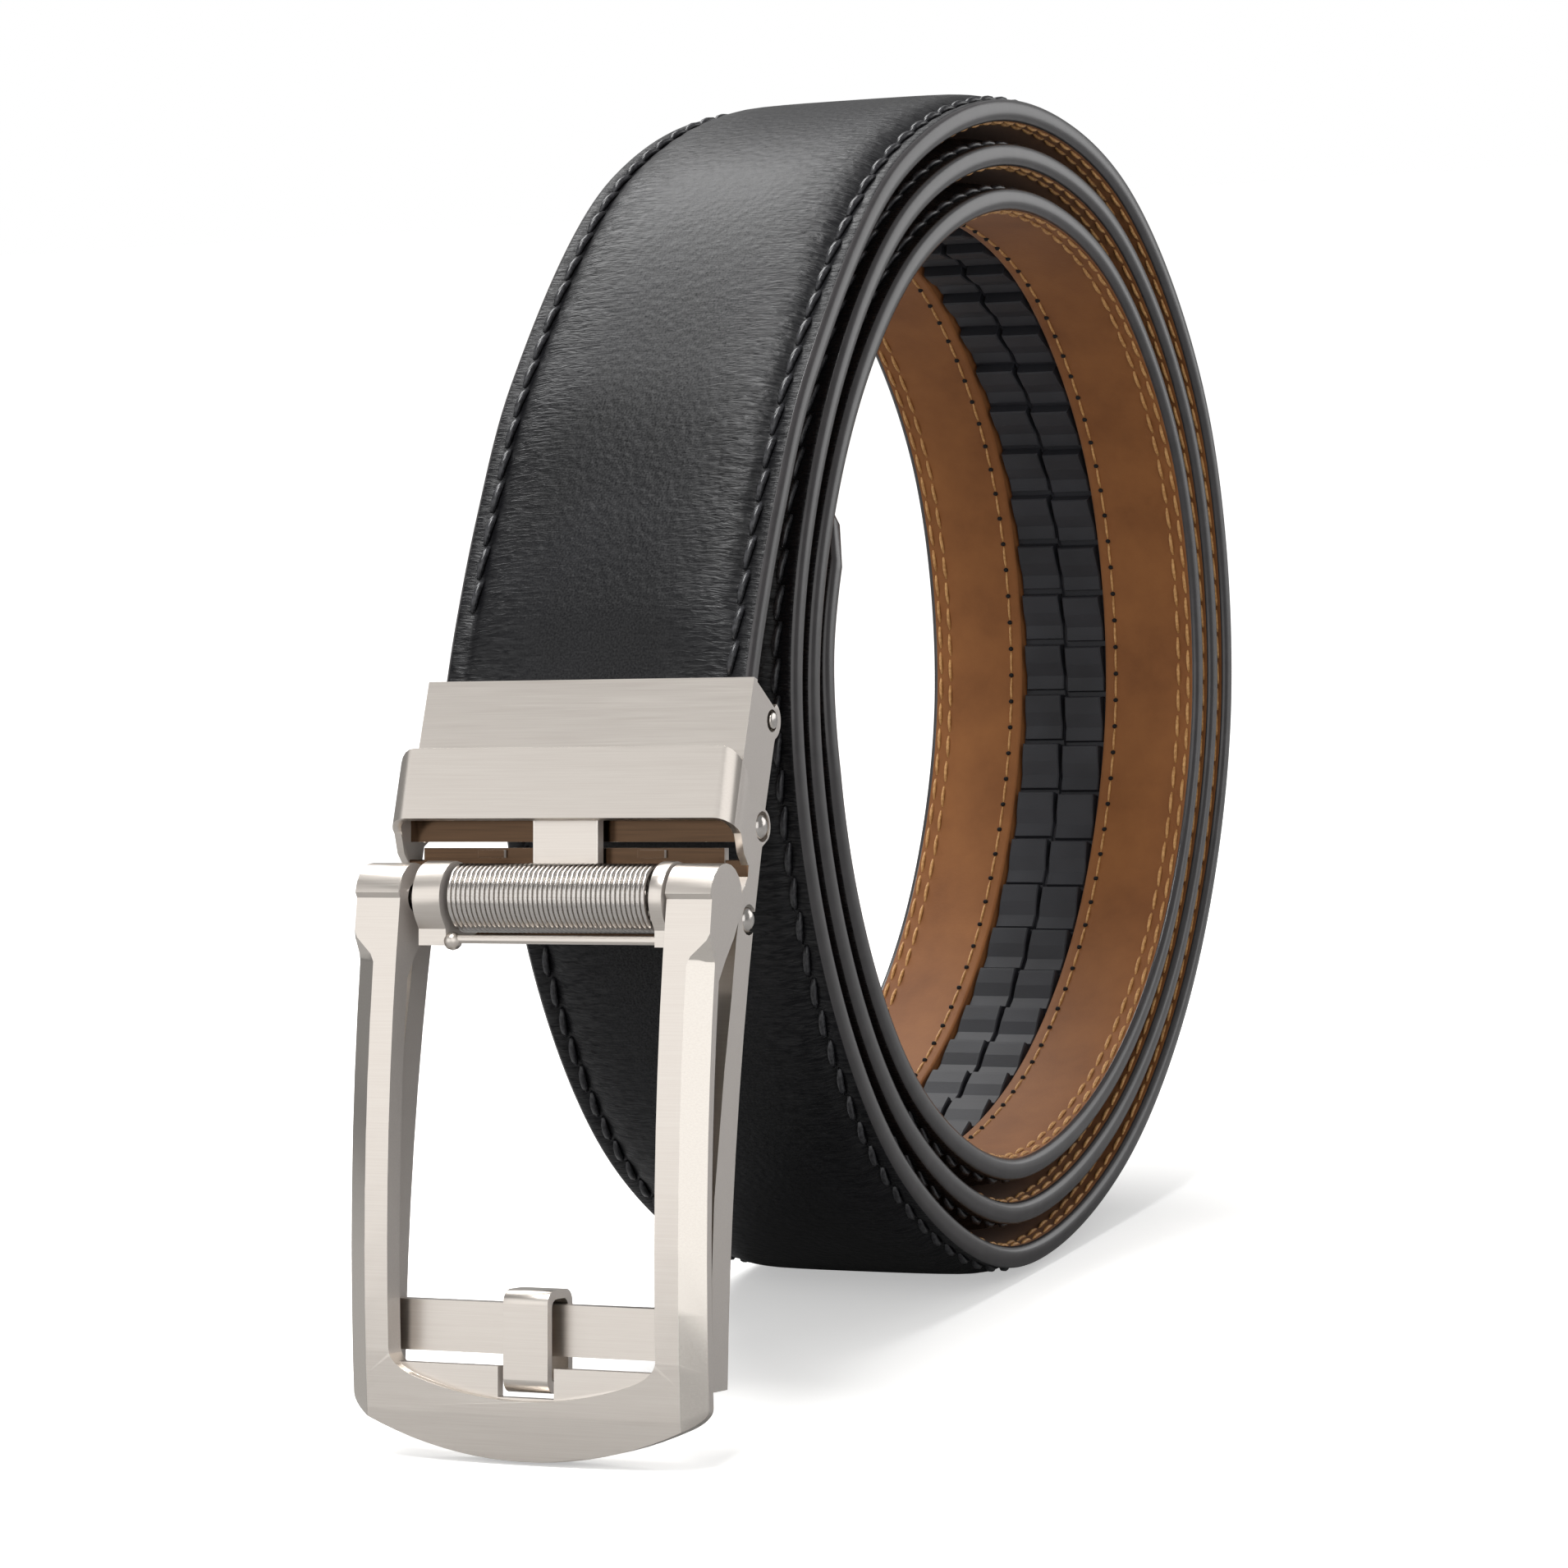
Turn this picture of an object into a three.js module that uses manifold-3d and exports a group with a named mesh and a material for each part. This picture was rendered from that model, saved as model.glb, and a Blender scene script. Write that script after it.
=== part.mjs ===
// Ratchet belt, rolled up and standing on its coil, in millimetres.
// X runs across the strap, -Y is the buckle's side, +Z is up. The belt is first laid out with the coil's
// axis at Y = 0, Z = 0, and is then rolled forward until the coil and the buckle's tip both rest at Z = 0.
import * as THREE from 'three';
import { mergeVertices } from 'three/addons/utils/BufferGeometryUtils.js';
import Module from 'manifold-3d';

const wasm = await Module();
wasm.setup();

// Strap
const strapWidth = 35;
const leatherThickness = 1.3;
const liningThickness = 0.95;
const glueLine = 0.15;
const padHeight = 1.0;
const stitchMargin = 2.6;
const padShoulder = 5.2;
const padRise = 8;
const liningInset = 0.25;
const tipLength = 11;
const tipTaper = 0.06;
const taperLength = 34;
const strapStep = 6.6;

// Coil of the strap
const coilRadius = 65;
const layerGap = 0.7;
const tailAngle = 1108;
const rowAngle = 30;

// Ratchet track
const toothPitch = 6.35;
const toothHeight = 0.75;
const toothCount = 62;
const toothRamp = 0.62;
const toothFace = 0.12;
const trackWidth = 10.2;
const trackBase = 0.3;
const trackFloor = 0.35;
const trackFromTip = 32;
const slotClearance = 0.3;
const slotEnd = 4;

// Clamp box that holds the strap's end, laid out flat and then leant forward
const sheet = 0.8;
const clearance = 0.3;
const clampLean = 17;
const clampStandoff = 2.9;
const clampTopZ = -1.2;
const clampHeight = 10.5;
const clampDepth = 6.2;
const clampTopDrop = 1.5;
const strapGrip = 9.7;
const bossRadius = 1.95;
const bossIn = 5.1;
const bossDown = 2.9;
const clampPinRadius = 0.85;
const earRadius = 1.5;
const flapThickness = 1.2;

// The Y values of the hinge and the buckle count from the clamp's front plate.

// Hinge between the clamp and the buckle's base
const hingeY = -0.4;
const hingeZ = -16.1;
const hingePinRadius = 0.9;
const rivetHeadRadius = 1.25;
const rivetProud = 0.25;

// Buckle base
const baseWall = 0.8;
const armThickness = 3.0;
const armTopZ = -19.4;
const armBottomZ = -71.3;
const armBend = 231.7;
const armBendZ = -77.4;
const armBottomY = -8.2;
const armDepth = 4;
const keeperTopY = -5;
const keeperTopZ = -8.1;
const keeperLean = 15.7;
const keeperHeight = 7.4;
const keeperThickness = 0.9;
const keeperCorner = 2.2;
const keeperTopDrop = 1.1;
const keeperBottomDrop = 0.45;
const backPlateY = -3.2;
const backPlateTopZ = -13.9;
const backPlateBottomZ = -17.6;
const crossPlateY = -3.6;
const crossPlateTopZ = -18.2;
const crossPlateBottomZ = -27;
const crossPlateTabX = 9.1;
const crossPlateTabWidth = 3;
const railTopZ = -63.4;
const railBottomZ = -68.5;
const railFrontY = -11.1;
const railThickness = 1.6;
const rivetY = -3.4;
const rivetZ = -25.3;
const rivetDepth = 1.4;

// Rod, spring and tongue
const rodY = -9;
const rodZ = -23.2;
const rodRadius = 1.2;
const springRadius = 3.5;
const springWire = 0.5;
const springLeftX = -9.9;
const springRightX = 13;
const lugRadius = 3.7;
const leftLugThickness = 3.1;
const rightLugThickness = 1.4;
const barRadius = 0.45;
const barY = -10.7;
const barZ = -27.3;
const ballRadius = 0.95;
const tongueWidth = 7.4;
const tongueThickness = 1.2;
const tongueTopZ = -13;
const tongueBottomZ = -19.9;

// Front frame
const frameOverhang = 0.3;
const legWidth = 5;
const frameFrontY = -14.7;
const frameMiddleZ = -58;
const frameBend = 235;
const frameThickness = 2.5;
const frameBottomZ = -78.8;
const frameBottomArc = 43;
const frameCorner = 2.2;
const openingBottomZ = -72.8;
const openingArc = 37;
const openingCorner = 2.6;
const lobeRadius = 3.5;
const chamferWidth = 2.4;
const chamferDepth = 1.5;
const chamferTopZ = -29.6;
const chamferRunOut = 3.2;
const ledgeTopZ = -69.5;
const ledgeRecess = 1.1;
const ledgeThickness = 1.1;
const notchGap = 0.65;
const boreDepth = 3.2;

// Faux prong, a closed band round the lower rail
const prongWidth = 5;
const prongThickness = 0.9;
const prongFrontY = -13.4;
const prongBackY = -8.2;
const prongTopZ = -61.9;
const prongBottomZ = -72.1;
const prongCorner = 1.4;

// Outer radius of the coil's first turn, in shares of coilRadius, and the room between one turn and the
// next, in shares of the strap's thickness with its gap. Angles run from the front over the top.
const coilRows = [
  { angle: 15, radius: 0.963, pitch: 1.0 },
  { angle: 30, radius: 0.942, pitch: 1.03 },
  { angle: 60, radius: 0.963, pitch: 1.2 },
  { angle: 90, radius: 0.998, pitch: 1.2 },
  { angle: 120, radius: 1.043, pitch: 1.27 },
  { angle: 150, radius: 1.05, pitch: 1.24 },
  { angle: 180, radius: 1.023, pitch: 1.17 },
  { angle: 210, radius: 0.988, pitch: 1.1 },
  { angle: 240, radius: 0.986, pitch: 1.17 },
  { angle: 270, radius: 0.998, pitch: 1.19 },
  { angle: 300, radius: 0.938, pitch: 1.04 },
  { angle: 330, radius: 0.883, pitch: 1.0 },
  { angle: 360, radius: 0.867, pitch: 1.0 },
  { angle: 390, radius: 0.855, pitch: 1.03 },
];

// Depth of a side arm below the hinge: how far down, as a share of the arm's length from the hinge to its
// end, and how deep behind its front edge, as a share of armDepth.
const armRows = [
  { down: 0.045, depth: 1.1 },
  { down: 0.066, depth: 0.64 },
  { down: 0.09, depth: 0.6 },
  { down: 0.12, depth: 0.84 },
  { down: 0.2, depth: 0.88 },
  { down: 0.3, depth: 0.84 },
  { down: 0.43, depth: 0.91 },
  { down: 0.66, depth: 1.04 },
  { down: 0.8, depth: 1.0 },
  { down: 1.0, depth: 0.82 },
];

const finish = {
  leather: { color: 0x17171a, roughness: 0.45, metalness: 0 },
  lining: { color: 0x7a5233, roughness: 0.65, metalness: 0 },
  rubber: { color: 0x26272a, roughness: 0.7, metalness: 0 },
  nickel: { color: 0xc4bcb4, roughness: 0.3, metalness: 1 },
  steel: { color: 0xb4b2b0, roughness: 0.25, metalness: 1 },
};

const half = strapWidth / 2;
const clampFrontY = -coilRadius - clampStandoff;
const edgeThickness = leatherThickness + glueLine + liningThickness;
const strapPitch = edgeThickness + padHeight + layerGap;
const clampHalf = half + clearance + sheet;
const wallInner = clampHalf + clearance;
const baseHalf = wallInner + baseWall;
const armInner = baseHalf - armThickness;
const frameHalf = baseHalf + frameOverhang;
const legInner = frameHalf - legWidth;
const radians = Math.PI / 180;

// Solids

function toManifold(geometry) {
  const bare = geometry.clone();
  bare.deleteAttribute('normal');
  bare.deleteAttribute('uv');
  const merged = mergeVertices(bare, 1e-4);
  const vertProperties = new Float32Array(merged.attributes.position.array);
  const triVerts = Uint32Array.from(merged.index.array);
  return new wasm.Manifold(new wasm.Mesh({ numProp: 3, vertProperties, triVerts }));
}

function toGeometry(solid) {
  const { vertProperties, triVerts } = solid.getMesh();
  const geometry = new THREE.BufferGeometry();
  geometry.setAttribute('position', new THREE.BufferAttribute(new Float32Array(vertProperties), 3));
  geometry.setIndex(Array.from(triVerts));
  return geometry;
}

function join(...geometries) {
  return toGeometry(geometries.map(toManifold).reduce((all, next) => all.add(next)));
}

function cut(geometry, ...tools) {
  return toGeometry(tools.map(toManifold).reduce((rest, tool) => rest.subtract(tool), toManifold(geometry)));
}

function common(first, second) {
  return toGeometry(toManifold(first).intersect(toManifold(second)));
}

// A closed body through rings of equally many points, with a fan of triangles over each end.
function loft(rings) {
  const size = rings[0].length;
  const positions = rings.flat().flatMap((point) => point.toArray());
  const index = [];
  for (let ring = 0; ring < rings.length - 1; ring += 1) {
    for (let k = 0; k < size; k += 1) {
      const next = (k + 1) % size;
      const a = ring * size + k;
      const b = ring * size + next;
      index.push(a, b, a + size, b, b + size, a + size);
    }
  }
  const ends = [rings[0], rings[rings.length - 1]];
  ends.forEach((ring, end) => {
    const centre = ring.reduce((sum, point) => sum.add(point), new THREE.Vector3()).divideScalar(size);
    const first = end === 0 ? 0 : (rings.length - 1) * size;
    const middle = positions.length / 3;
    positions.push(...centre.toArray());
    for (let k = 0; k < size; k += 1) {
      const next = (k + 1) % size;
      if (end === 0) index.push(middle, first + next, first + k);
      else index.push(middle, first + k, first + next);
    }
  });
  const geometry = new THREE.BufferGeometry();
  geometry.setAttribute('position', new THREE.BufferAttribute(new Float32Array(positions), 3));
  geometry.setIndex(signedVolume(positions, index) > 0 ? index : index.reverse());
  return geometry;
}

function signedVolume(positions, index) {
  const corner = (k) => new THREE.Vector3().fromArray(positions, 3 * index[k]);
  let volume = 0;
  for (let k = 0; k < index.length; k += 3) volume += corner(k).dot(corner(k + 1).cross(corner(k + 2)));
  return volume;
}

// A plate whose outline lies in the side view, from x = left to x = right. Outline points are [y, z].
function sidePlate(outline, left, right) {
  const shape = outline instanceof THREE.Shape ? outline : polygon(outline);
  const geometry = new THREE.ExtrudeGeometry(shape, {
    depth: right - left, bevelEnabled: false, curveSegments: 10,
  });
  const across = new THREE.Vector3(1, 0, 0);
  const axes = [new THREE.Vector3(0, 1, 0), new THREE.Vector3(0, 0, 1), across];
  return geometry.applyMatrix4(new THREE.Matrix4().makeBasis(...axes).setPosition(left, 0, 0));
}

// A plate whose outline lies in the front view, from y = front to y = back. Outline points are [x, z].
function frontPlate(outline, front, back) {
  const shape = outline instanceof THREE.Shape ? outline : polygon(outline);
  const geometry = new THREE.ExtrudeGeometry(shape, {
    depth: back - front, bevelEnabled: false, curveSegments: 10,
  });
  return geometry.rotateX(Math.PI / 2).translate(0, back, 0);
}

function polygon(points) {
  return new THREE.Shape(points.map(([a, b]) => new THREE.Vector2(a, b)));
}

function box(x0, x1, y0, y1, z0, z1) {
  const geometry = new THREE.BoxGeometry(x1 - x0, y1 - y0, z1 - z0);
  return geometry.translate((x0 + x1) / 2, (y0 + y1) / 2, (z0 + z1) / 2);
}

// A round bar along X.
function bar(radius, x0, x1, y, z, sides = 16) {
  const geometry = new THREE.CylinderGeometry(radius, radius, x1 - x0, sides);
  return geometry.rotateZ(Math.PI / 2).translate((x0 + x1) / 2, y, z);
}

// A turned body about an X axis, from [x, radius] points of its profile.
function turned(profile, y, z, sides = 16) {
  const points = profile.map(([x, radius]) => new THREE.Vector2(radius, x));
  return new THREE.LatheGeometry(points, sides).rotateZ(-Math.PI / 2).translate(0, y, z);
}

function mirrored(geometry) {
  return flipped(geometry.clone().scale(-1, 1, 1));
}

function flipped(geometry) {
  const whole = geometry.index ? geometry : mergeVertices(geometry);
  whole.setIndex(Array.from(whole.index.array).reverse());
  return whole;
}

function meshOf(name, geometry, look) {
  const mesh = new THREE.Mesh(geometry, new THREE.MeshStandardMaterial(look));
  mesh.name = name;
  return mesh;
}

// Strap, lining and track

// From the clamp's own upright layout to the belt's: [in from the front plate, up from its top].
function clampPoint(inward, up) {
  const lean = clampLean * radians;
  return {
    y: clampFrontY + inward * Math.cos(lean) + up * Math.sin(lean),
    z: clampTopZ - inward * Math.sin(lean) + up * Math.cos(lean),
  };
}

function coilNodes() {
  const nodes = coilRows.map(({ angle, radius }) => ({ angle, radius: radius * coilRadius }));
  const turnShare = (angle) => coilRows.find((row) => row.angle === (angle % 360 || 360)).pitch;
  const radiusAt = (angle) => nodes.find((node) => node.angle === angle).radius;
  for (let angle = nodes[nodes.length - 1].angle + rowAngle; angle < tailAngle + rowAngle; angle += rowAngle) {
    nodes.push({ angle, radius: radiusAt(angle - 360) - strapPitch * turnShare(angle) });
  }
  return nodes;
}

// The strap's outer face along its stitched edges, from its end in the clamp to the tip of the tail.
function strapPath() {
  const face = sheet + clearance;
  const straight = [-strapGrip, -strapGrip / 2, 0, padRise - 2].map((up) => clampPoint(face, up));
  const round = coilNodes().map(({ angle, radius }) => ({
    y: -radius * Math.cos(angle * radians),
    z: radius * Math.sin(angle * radians),
  }));
  const points = straight.concat(round).map(({ y, z }) => new THREE.Vector3(0, y, z));
  const curve = new THREE.CatmullRomCurve3(points);
  curve.arcLengthDivisions = 3000;
  const nodes = coilNodes();
  const past = (nodes[nodes.length - 1].angle - tailAngle) / rowAngle;
  const lengths = curve.getLengths();
  const lastShare = 1 - past / (points.length - 1);
  return { curve, full: curve.getLength(), length: lengths[Math.round(lastShare * curve.arcLengthDivisions)] };
}

const path = strapPath();

function frameAt(along) {
  const share = THREE.MathUtils.clamp(along / path.full, 0, 1);
  const point = path.curve.getPointAt(share);
  const tangent = path.curve.getTangentAt(share);
  return { point, out: new THREE.Vector3(0, -tangent.z, tangent.y) };
}

function ringAt(along, section) {
  const { point, out } = frameAt(along);
  return section.map(([x, height]) => point.clone().addScaledVector(out, height).setX(x));
}

function halfWidthAt(along) {
  const fromTip = path.length - along;
  const taper = 1 - tipTaper * THREE.MathUtils.clamp(1 - fromTip / taperLength, 0, 1);
  const inTip = THREE.MathUtils.clamp(1 - fromTip / tipLength, 0, 1);
  return half * taper * Math.pow(1 - Math.pow(inTip, 2.4), 1 / 2.4);
}

function padAt(along) {
  const fromClamp = (along - strapGrip) / padRise;
  const fromTip = (path.length - along) / padRise;
  return padHeight * THREE.MathUtils.clamp(Math.min(fromClamp, fromTip), 0, 1);
}

function strapStations() {
  const steps = Math.round((path.length - tipLength) / strapStep);
  const stations = [];
  for (let k = 0; k <= steps; k += 1) stations.push((k / steps) * (path.length - tipLength));
  [0.42, 0.68, 0.86, 0.96, 0.993].forEach((share) => {
    stations.push(path.length - tipLength * (1 - share));
  });
  return stations;
}

function leatherGeometry() {
  return loft(strapStations().map((along) => {
    const w = halfWidthAt(along);
    const pad = padAt(along);
    const margin = w - Math.min(stitchMargin, 0.3 * w);
    const shoulder = w - Math.min(padShoulder, 0.55 * w);
    return ringAt(along, [
      [-w, 0], [-margin, 0], [-shoulder, 0.75 * pad], [-0.3 * w, pad],
      [0.3 * w, pad], [shoulder, 0.75 * pad], [margin, 0], [w, 0],
      [w, -leatherThickness], [-w, -leatherThickness],
    ]);
  }));
}

function trackEnd() {
  return path.length - trackFromTip;
}

function trackStart() {
  return trackEnd() - toothCount * toothPitch;
}

function liningGeometry() {
  const outer = -leatherThickness - glueLine;
  const whole = loft(strapStations().map((along) => {
    const w = halfWidthAt(along) - liningInset;
    return ringAt(along, [[-w, outer], [w, outer], [w, -edgeThickness], [-w, -edgeThickness]]);
  }));
  const w = trackWidth / 2 + slotClearance;
  const from = trackStart() - slotEnd;
  const to = trackEnd() + slotEnd;
  const stations = strapStations().filter((along) => along > from && along < to);
  const slot = loft([from, ...stations, to].map((along) => ringAt(along, [
    [-w, outer + glueLine / 2], [w, outer + glueLine / 2],
    [w, -edgeThickness - padHeight], [-w, -edgeThickness - padHeight],
  ])));
  return cut(whole, slot);
}

// Teeth that rise at once on the clamp's side, slope down towards the tail and end in a flat land.
function trackGeometry() {
  const bottom = -leatherThickness - trackFloor;
  const land = bottom - trackBase;
  const tip = land - toothHeight;
  const w = trackWidth / 2;
  const section = (top) => [[-w, bottom], [-w, top], [w, top], [w, bottom]];
  const rings = [];
  for (let tooth = 0; tooth < toothCount; tooth += 1) {
    const start = trackStart() + tooth * toothPitch;
    rings.push(ringAt(start, section(land)));
    rings.push(ringAt(start + toothFace, section(tip)));
    rings.push(ringAt(start + toothFace + toothRamp * toothPitch, section(land)));
  }
  rings.push(ringAt(trackEnd(), section(land)));
  return loft(rings);
}

// Clamp, in its own upright layout: y in from the front plate, z down from its top

function clampHinge() {
  const lean = clampLean * radians;
  const y = hingeY;
  const z = hingeZ - clampTopZ;
  return {
    y: y * Math.cos(lean) - z * Math.sin(lean),
    z: y * Math.sin(lean) + z * Math.cos(lean),
  };
}

function clampGeometry() {
  const hinge = clampHinge();
  const wall = new THREE.Shape();
  wall.moveTo(0, 0);
  wall.lineTo(0, -clampHeight);
  wall.lineTo(hinge.y - earRadius - 1.2, -clampHeight);
  wall.lineTo(hinge.y - earRadius, hinge.z);
  wall.absarc(hinge.y, hinge.z, earRadius, Math.PI, 2 * Math.PI, false);
  wall.lineTo(clampDepth, hinge.z + 2);
  wall.lineTo(clampDepth, -bossDown - bossRadius);
  wall.absarc(bossIn, -bossDown, bossRadius, -0.3 * Math.PI, 0.42 * Math.PI, false);
  wall.lineTo(clampDepth - 1, -clampTopDrop);
  const plate = box(-clampHalf, clampHalf, 0, sheet, -clampHeight, 0);
  const rightWall = sidePlate(wall, clampHalf - sheet, clampHalf);
  const leftWall = sidePlate(wall, -clampHalf, -clampHalf + sheet);
  const pinHole = bar(clampPinRadius + clearance, -baseHalf, baseHalf, bossIn, -bossDown);
  const hingeHole = bar(hingePinRadius + clearance, -baseHalf, baseHalf, hinge.y, hinge.z);
  return cut(join(plate, rightWall, leftWall), pinHole, hingeHole);
}

function flapGeometry() {
  const front = sheet + clearance + edgeThickness + clearance;
  const w = clampHalf - sheet - clearance;
  const plate = box(-w, w, front, front + flapThickness, -clampHeight + clearance, -bossDown);
  const knuckle = bar(clampPinRadius + clearance + 0.6, -w, w, bossIn + 0.2, -bossDown);
  const hollow = bar(clampPinRadius + clearance, -baseHalf, baseHalf, bossIn, -bossDown);
  const strapRoom = box(-baseHalf, baseHalf, 0, front, -clampHeight - 1, 1);
  return cut(join(plate, knuckle), hollow, strapRoom);
}

function clampPinGeometry() {
  return bar(clampPinRadius, -clampHalf - rivetProud, clampHalf + rivetProud, bossIn, -bossDown);
}

// Buckle base

function armRearY(z) {
  const rise = z - armBendZ;
  return armBottomY + armBend - Math.sqrt(armBend * armBend - rise * rise);
}

function armOutline(fromZ) {
  const length = hingeZ - armBottomZ;
  const front = armRows.map(({ down, depth }) => {
    const z = hingeZ - down * length;
    return [armRearY(z) - depth * armDepth, z];
  }).filter(([, z]) => z < fromZ);
  const steps = 9;
  const rear = [];
  for (let k = 0; k <= steps; k += 1) {
    const z = armBottomZ + (k / steps) * (fromZ - armBottomZ);
    rear.push([armRearY(z), z]);
  }
  return [[front[0][0], fromZ], ...front, ...rear];
}

// The thin side wall runs from the keeper round the hinge pin and down into the arm.
function wallOutline() {
  const side = keeperPoint(keeperCorner, -keeperTopDrop * keeperCorner);
  const low = keeperPoint(keeperCorner, -keeperHeight - keeperBottomDrop * keeperCorner);
  const outline = new THREE.Shape();
  outline.moveTo(side.y, side.z);
  outline.lineTo(low.y, low.z);
  outline.lineTo(armRearY(low.z) - 1.1 * armDepth, crossPlateTopZ - 0.6);
  outline.lineTo(armRearY(armTopZ) - 0.64 * armDepth, armTopZ - 0.6);
  outline.lineTo(armRearY(armTopZ) - 0.64 * armDepth, armTopZ - 2);
  outline.lineTo(armRearY(armTopZ - 2), armTopZ - 2);
  outline.lineTo(armRearY(hingeZ - 2), hingeZ - 2);
  outline.absarc(hingeY, hingeZ, earRadius + 0.3, -0.25 * Math.PI, 0.4 * Math.PI, false);
  outline.lineTo(side.y, side.z - 1.4);
  return outline;
}

// From the keeper's own upright layout to the belt's, as clampPoint does for the clamp.
function keeperPoint(inward, up) {
  const lean = keeperLean * radians;
  return {
    y: keeperTopY + inward * Math.cos(lean) + up * Math.sin(lean),
    z: keeperTopZ - inward * Math.sin(lean) + up * Math.cos(lean),
  };
}

function keeperGeometry() {
  const rings = [];
  const ring = (x, inward, normalX, normalY) => {
    const top = -keeperTopDrop * inward;
    const bottom = -keeperHeight - keeperBottomDrop * inward;
    const innerX = x - normalX * keeperThickness;
    const innerIn = inward - normalY * keeperThickness;
    const corners = [[x, inward, top], [innerX, innerIn, top], [innerX, innerIn, bottom], [x, inward, bottom]];
    rings.push(corners.map(([cx, cin, up]) => {
      const { y, z } = keeperPoint(cin, up);
      return new THREE.Vector3(cx, y, z);
    }));
  };
  const steps = 6;
  const flat = baseHalf - keeperCorner;
  const overlap = 0.5;
  ring(-baseHalf, keeperCorner + overlap, -1, 0);
  [-1, 1].forEach((side) => {
    for (let k = 0; k <= steps; k += 1) {
      const share = side < 0 ? k / steps : 1 - k / steps;
      const angle = share * Math.PI / 2;
      const x = side * (flat + keeperCorner * Math.cos(angle));
      const inward = keeperCorner * (1 - Math.sin(angle));
      ring(x, inward, side * Math.cos(angle), -Math.sin(angle));
    }
  });
  ring(baseHalf, keeperCorner + overlap, 1, 0);
  return loft(rings);
}

function lugOutline() {
  const outline = new THREE.Shape();
  outline.moveTo(crossPlateY, rodZ + lugRadius - 1);
  outline.lineTo(crossPlateY, rodZ - lugRadius + 0.5);
  outline.lineTo(rodY, barZ - barRadius - 0.2);
  outline.lineTo(barY - barRadius - 0.2, barZ - barRadius - 0.2);
  outline.lineTo(barY - barRadius - 0.2, barZ + 1);
  outline.absarc(rodY, rodZ, lugRadius, 1.18 * Math.PI, 0.5 * Math.PI, true);
  return outline;
}

function baseGeometry() {
  const pieces = [keeperGeometry()];
  [-1, 1].forEach((side) => {
    const thin = side < 0 ? [-baseHalf, -wallInner] : [wallInner, baseHalf];
    const thick = side < 0 ? [-baseHalf, -armInner] : [armInner, baseHalf];
    pieces.push(sidePlate(wallOutline(), ...thin), sidePlate(armOutline(armTopZ), ...thick));
  });
  const across = wallInner + 0.2;
  pieces.push(box(-across, across, backPlateY, backPlateY + keeperThickness, backPlateBottomZ, backPlateTopZ));
  const plateBack = crossPlateY + keeperThickness;
  const inArm = armInner + 0.4;
  pieces.push(box(-inArm, inArm, crossPlateY, plateBack, crossPlateBottomZ, crossPlateTopZ));
  [-1, 1].forEach((side) => {
    const x = side * crossPlateTabX;
    const w = crossPlateTabWidth / 2;
    pieces.push(box(x - w, x + w, crossPlateY - 0.4, crossPlateY + 0.2, crossPlateTopZ - 1, crossPlateTopZ - 0.2));
  });
  const leftLug = springLeftX - clearance;
  const rightLug = springRightX + clearance;
  pieces.push(sidePlate(lugOutline(), leftLug - leftLugThickness, leftLug));
  pieces.push(sidePlate(lugOutline(), rightLug, rightLug + rightLugThickness));
  pieces.push(bar(barRadius, leftLug - 0.5, rightLug + 0.5, barY, barZ, 10));
  const ball = new THREE.SphereGeometry(ballRadius, 12, 8);
  pieces.push(ball.translate(leftLug + 0.5 * ballRadius, barY, barZ - 0.2));
  pieces.push(box(-inArm, inArm, railFrontY, railFrontY + railThickness, railBottomZ, railTopZ));
  const rod = bar(rodRadius + clearance, -armInner, armInner, rodY, rodZ);
  const hinge = bar(rivetHeadRadius + clearance, -frameHalf, frameHalf, hingeY, hingeZ);
  const blind = rivetDepth + clearance;
  const right = bar(rivetHeadRadius + clearance, baseHalf - blind, frameHalf, rivetY, rivetZ);
  return cut(join(...pieces), rod, hinge, right, mirrored(right));
}

// A stepped pin in the base's wall: a domed head outside and a thin stem through the clamp's ear.
function hingePinGeometry() {
  const inner = clampHalf - sheet - 0.2;
  const neck = wallInner;
  const face = baseHalf + rivetProud;
  return turned([
    [inner, 0], [inner, hingePinRadius], [neck, hingePinRadius], [neck, rivetHeadRadius],
    [face - 0.35, rivetHeadRadius], [face, 0.55 * rivetHeadRadius], [face, 0],
  ], hingeY, hingeZ);
}

function baseRivetGeometry() {
  const inner = baseHalf - rivetDepth;
  const face = baseHalf + rivetProud;
  return turned([
    [inner, 0], [inner, rivetHeadRadius], [face - 0.35, rivetHeadRadius],
    [face, 0.55 * rivetHeadRadius], [face, 0],
  ], rivetY, rivetZ);
}

function tongueGeometry() {
  const back = crossPlateY - clearance;
  const w = tongueWidth / 2;
  return box(-w, w, back - tongueThickness, back, tongueBottomZ, tongueTopZ);
}

function springGeometry() {
  const inner = springRadius - springWire;
  return turned([
    [springLeftX, inner], [springLeftX, springRadius], [springRightX, springRadius],
    [springRightX, inner], [springLeftX, inner],
  ], rodY, rodZ, 24);
}

// A closed band with round corners, hung over the rail.
function prongGeometry() {
  const shape = roundedShape(prongFrontY, prongBackY, prongBottomZ, prongTopZ, prongCorner);
  const t = prongThickness;
  const inner = prongCorner - t / 2;
  shape.holes.push(roundedShape(prongFrontY + t, prongBackY - t, prongBottomZ + t, prongTopZ - t, inner));
  return sidePlate(shape, -prongWidth / 2, prongWidth / 2);
}

function roundedShape(y0, y1, z0, z1, r) {
  const shape = new THREE.Shape();
  shape.absarc(y0 + r, z0 + r, r, Math.PI, 1.5 * Math.PI, false);
  shape.absarc(y1 - r, z0 + r, r, 1.5 * Math.PI, 2 * Math.PI, false);
  shape.absarc(y1 - r, z1 - r, r, 0, 0.5 * Math.PI, false);
  shape.absarc(y0 + r, z1 - r, r, 0.5 * Math.PI, Math.PI, false);
  return shape;
}

// Front frame

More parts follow.
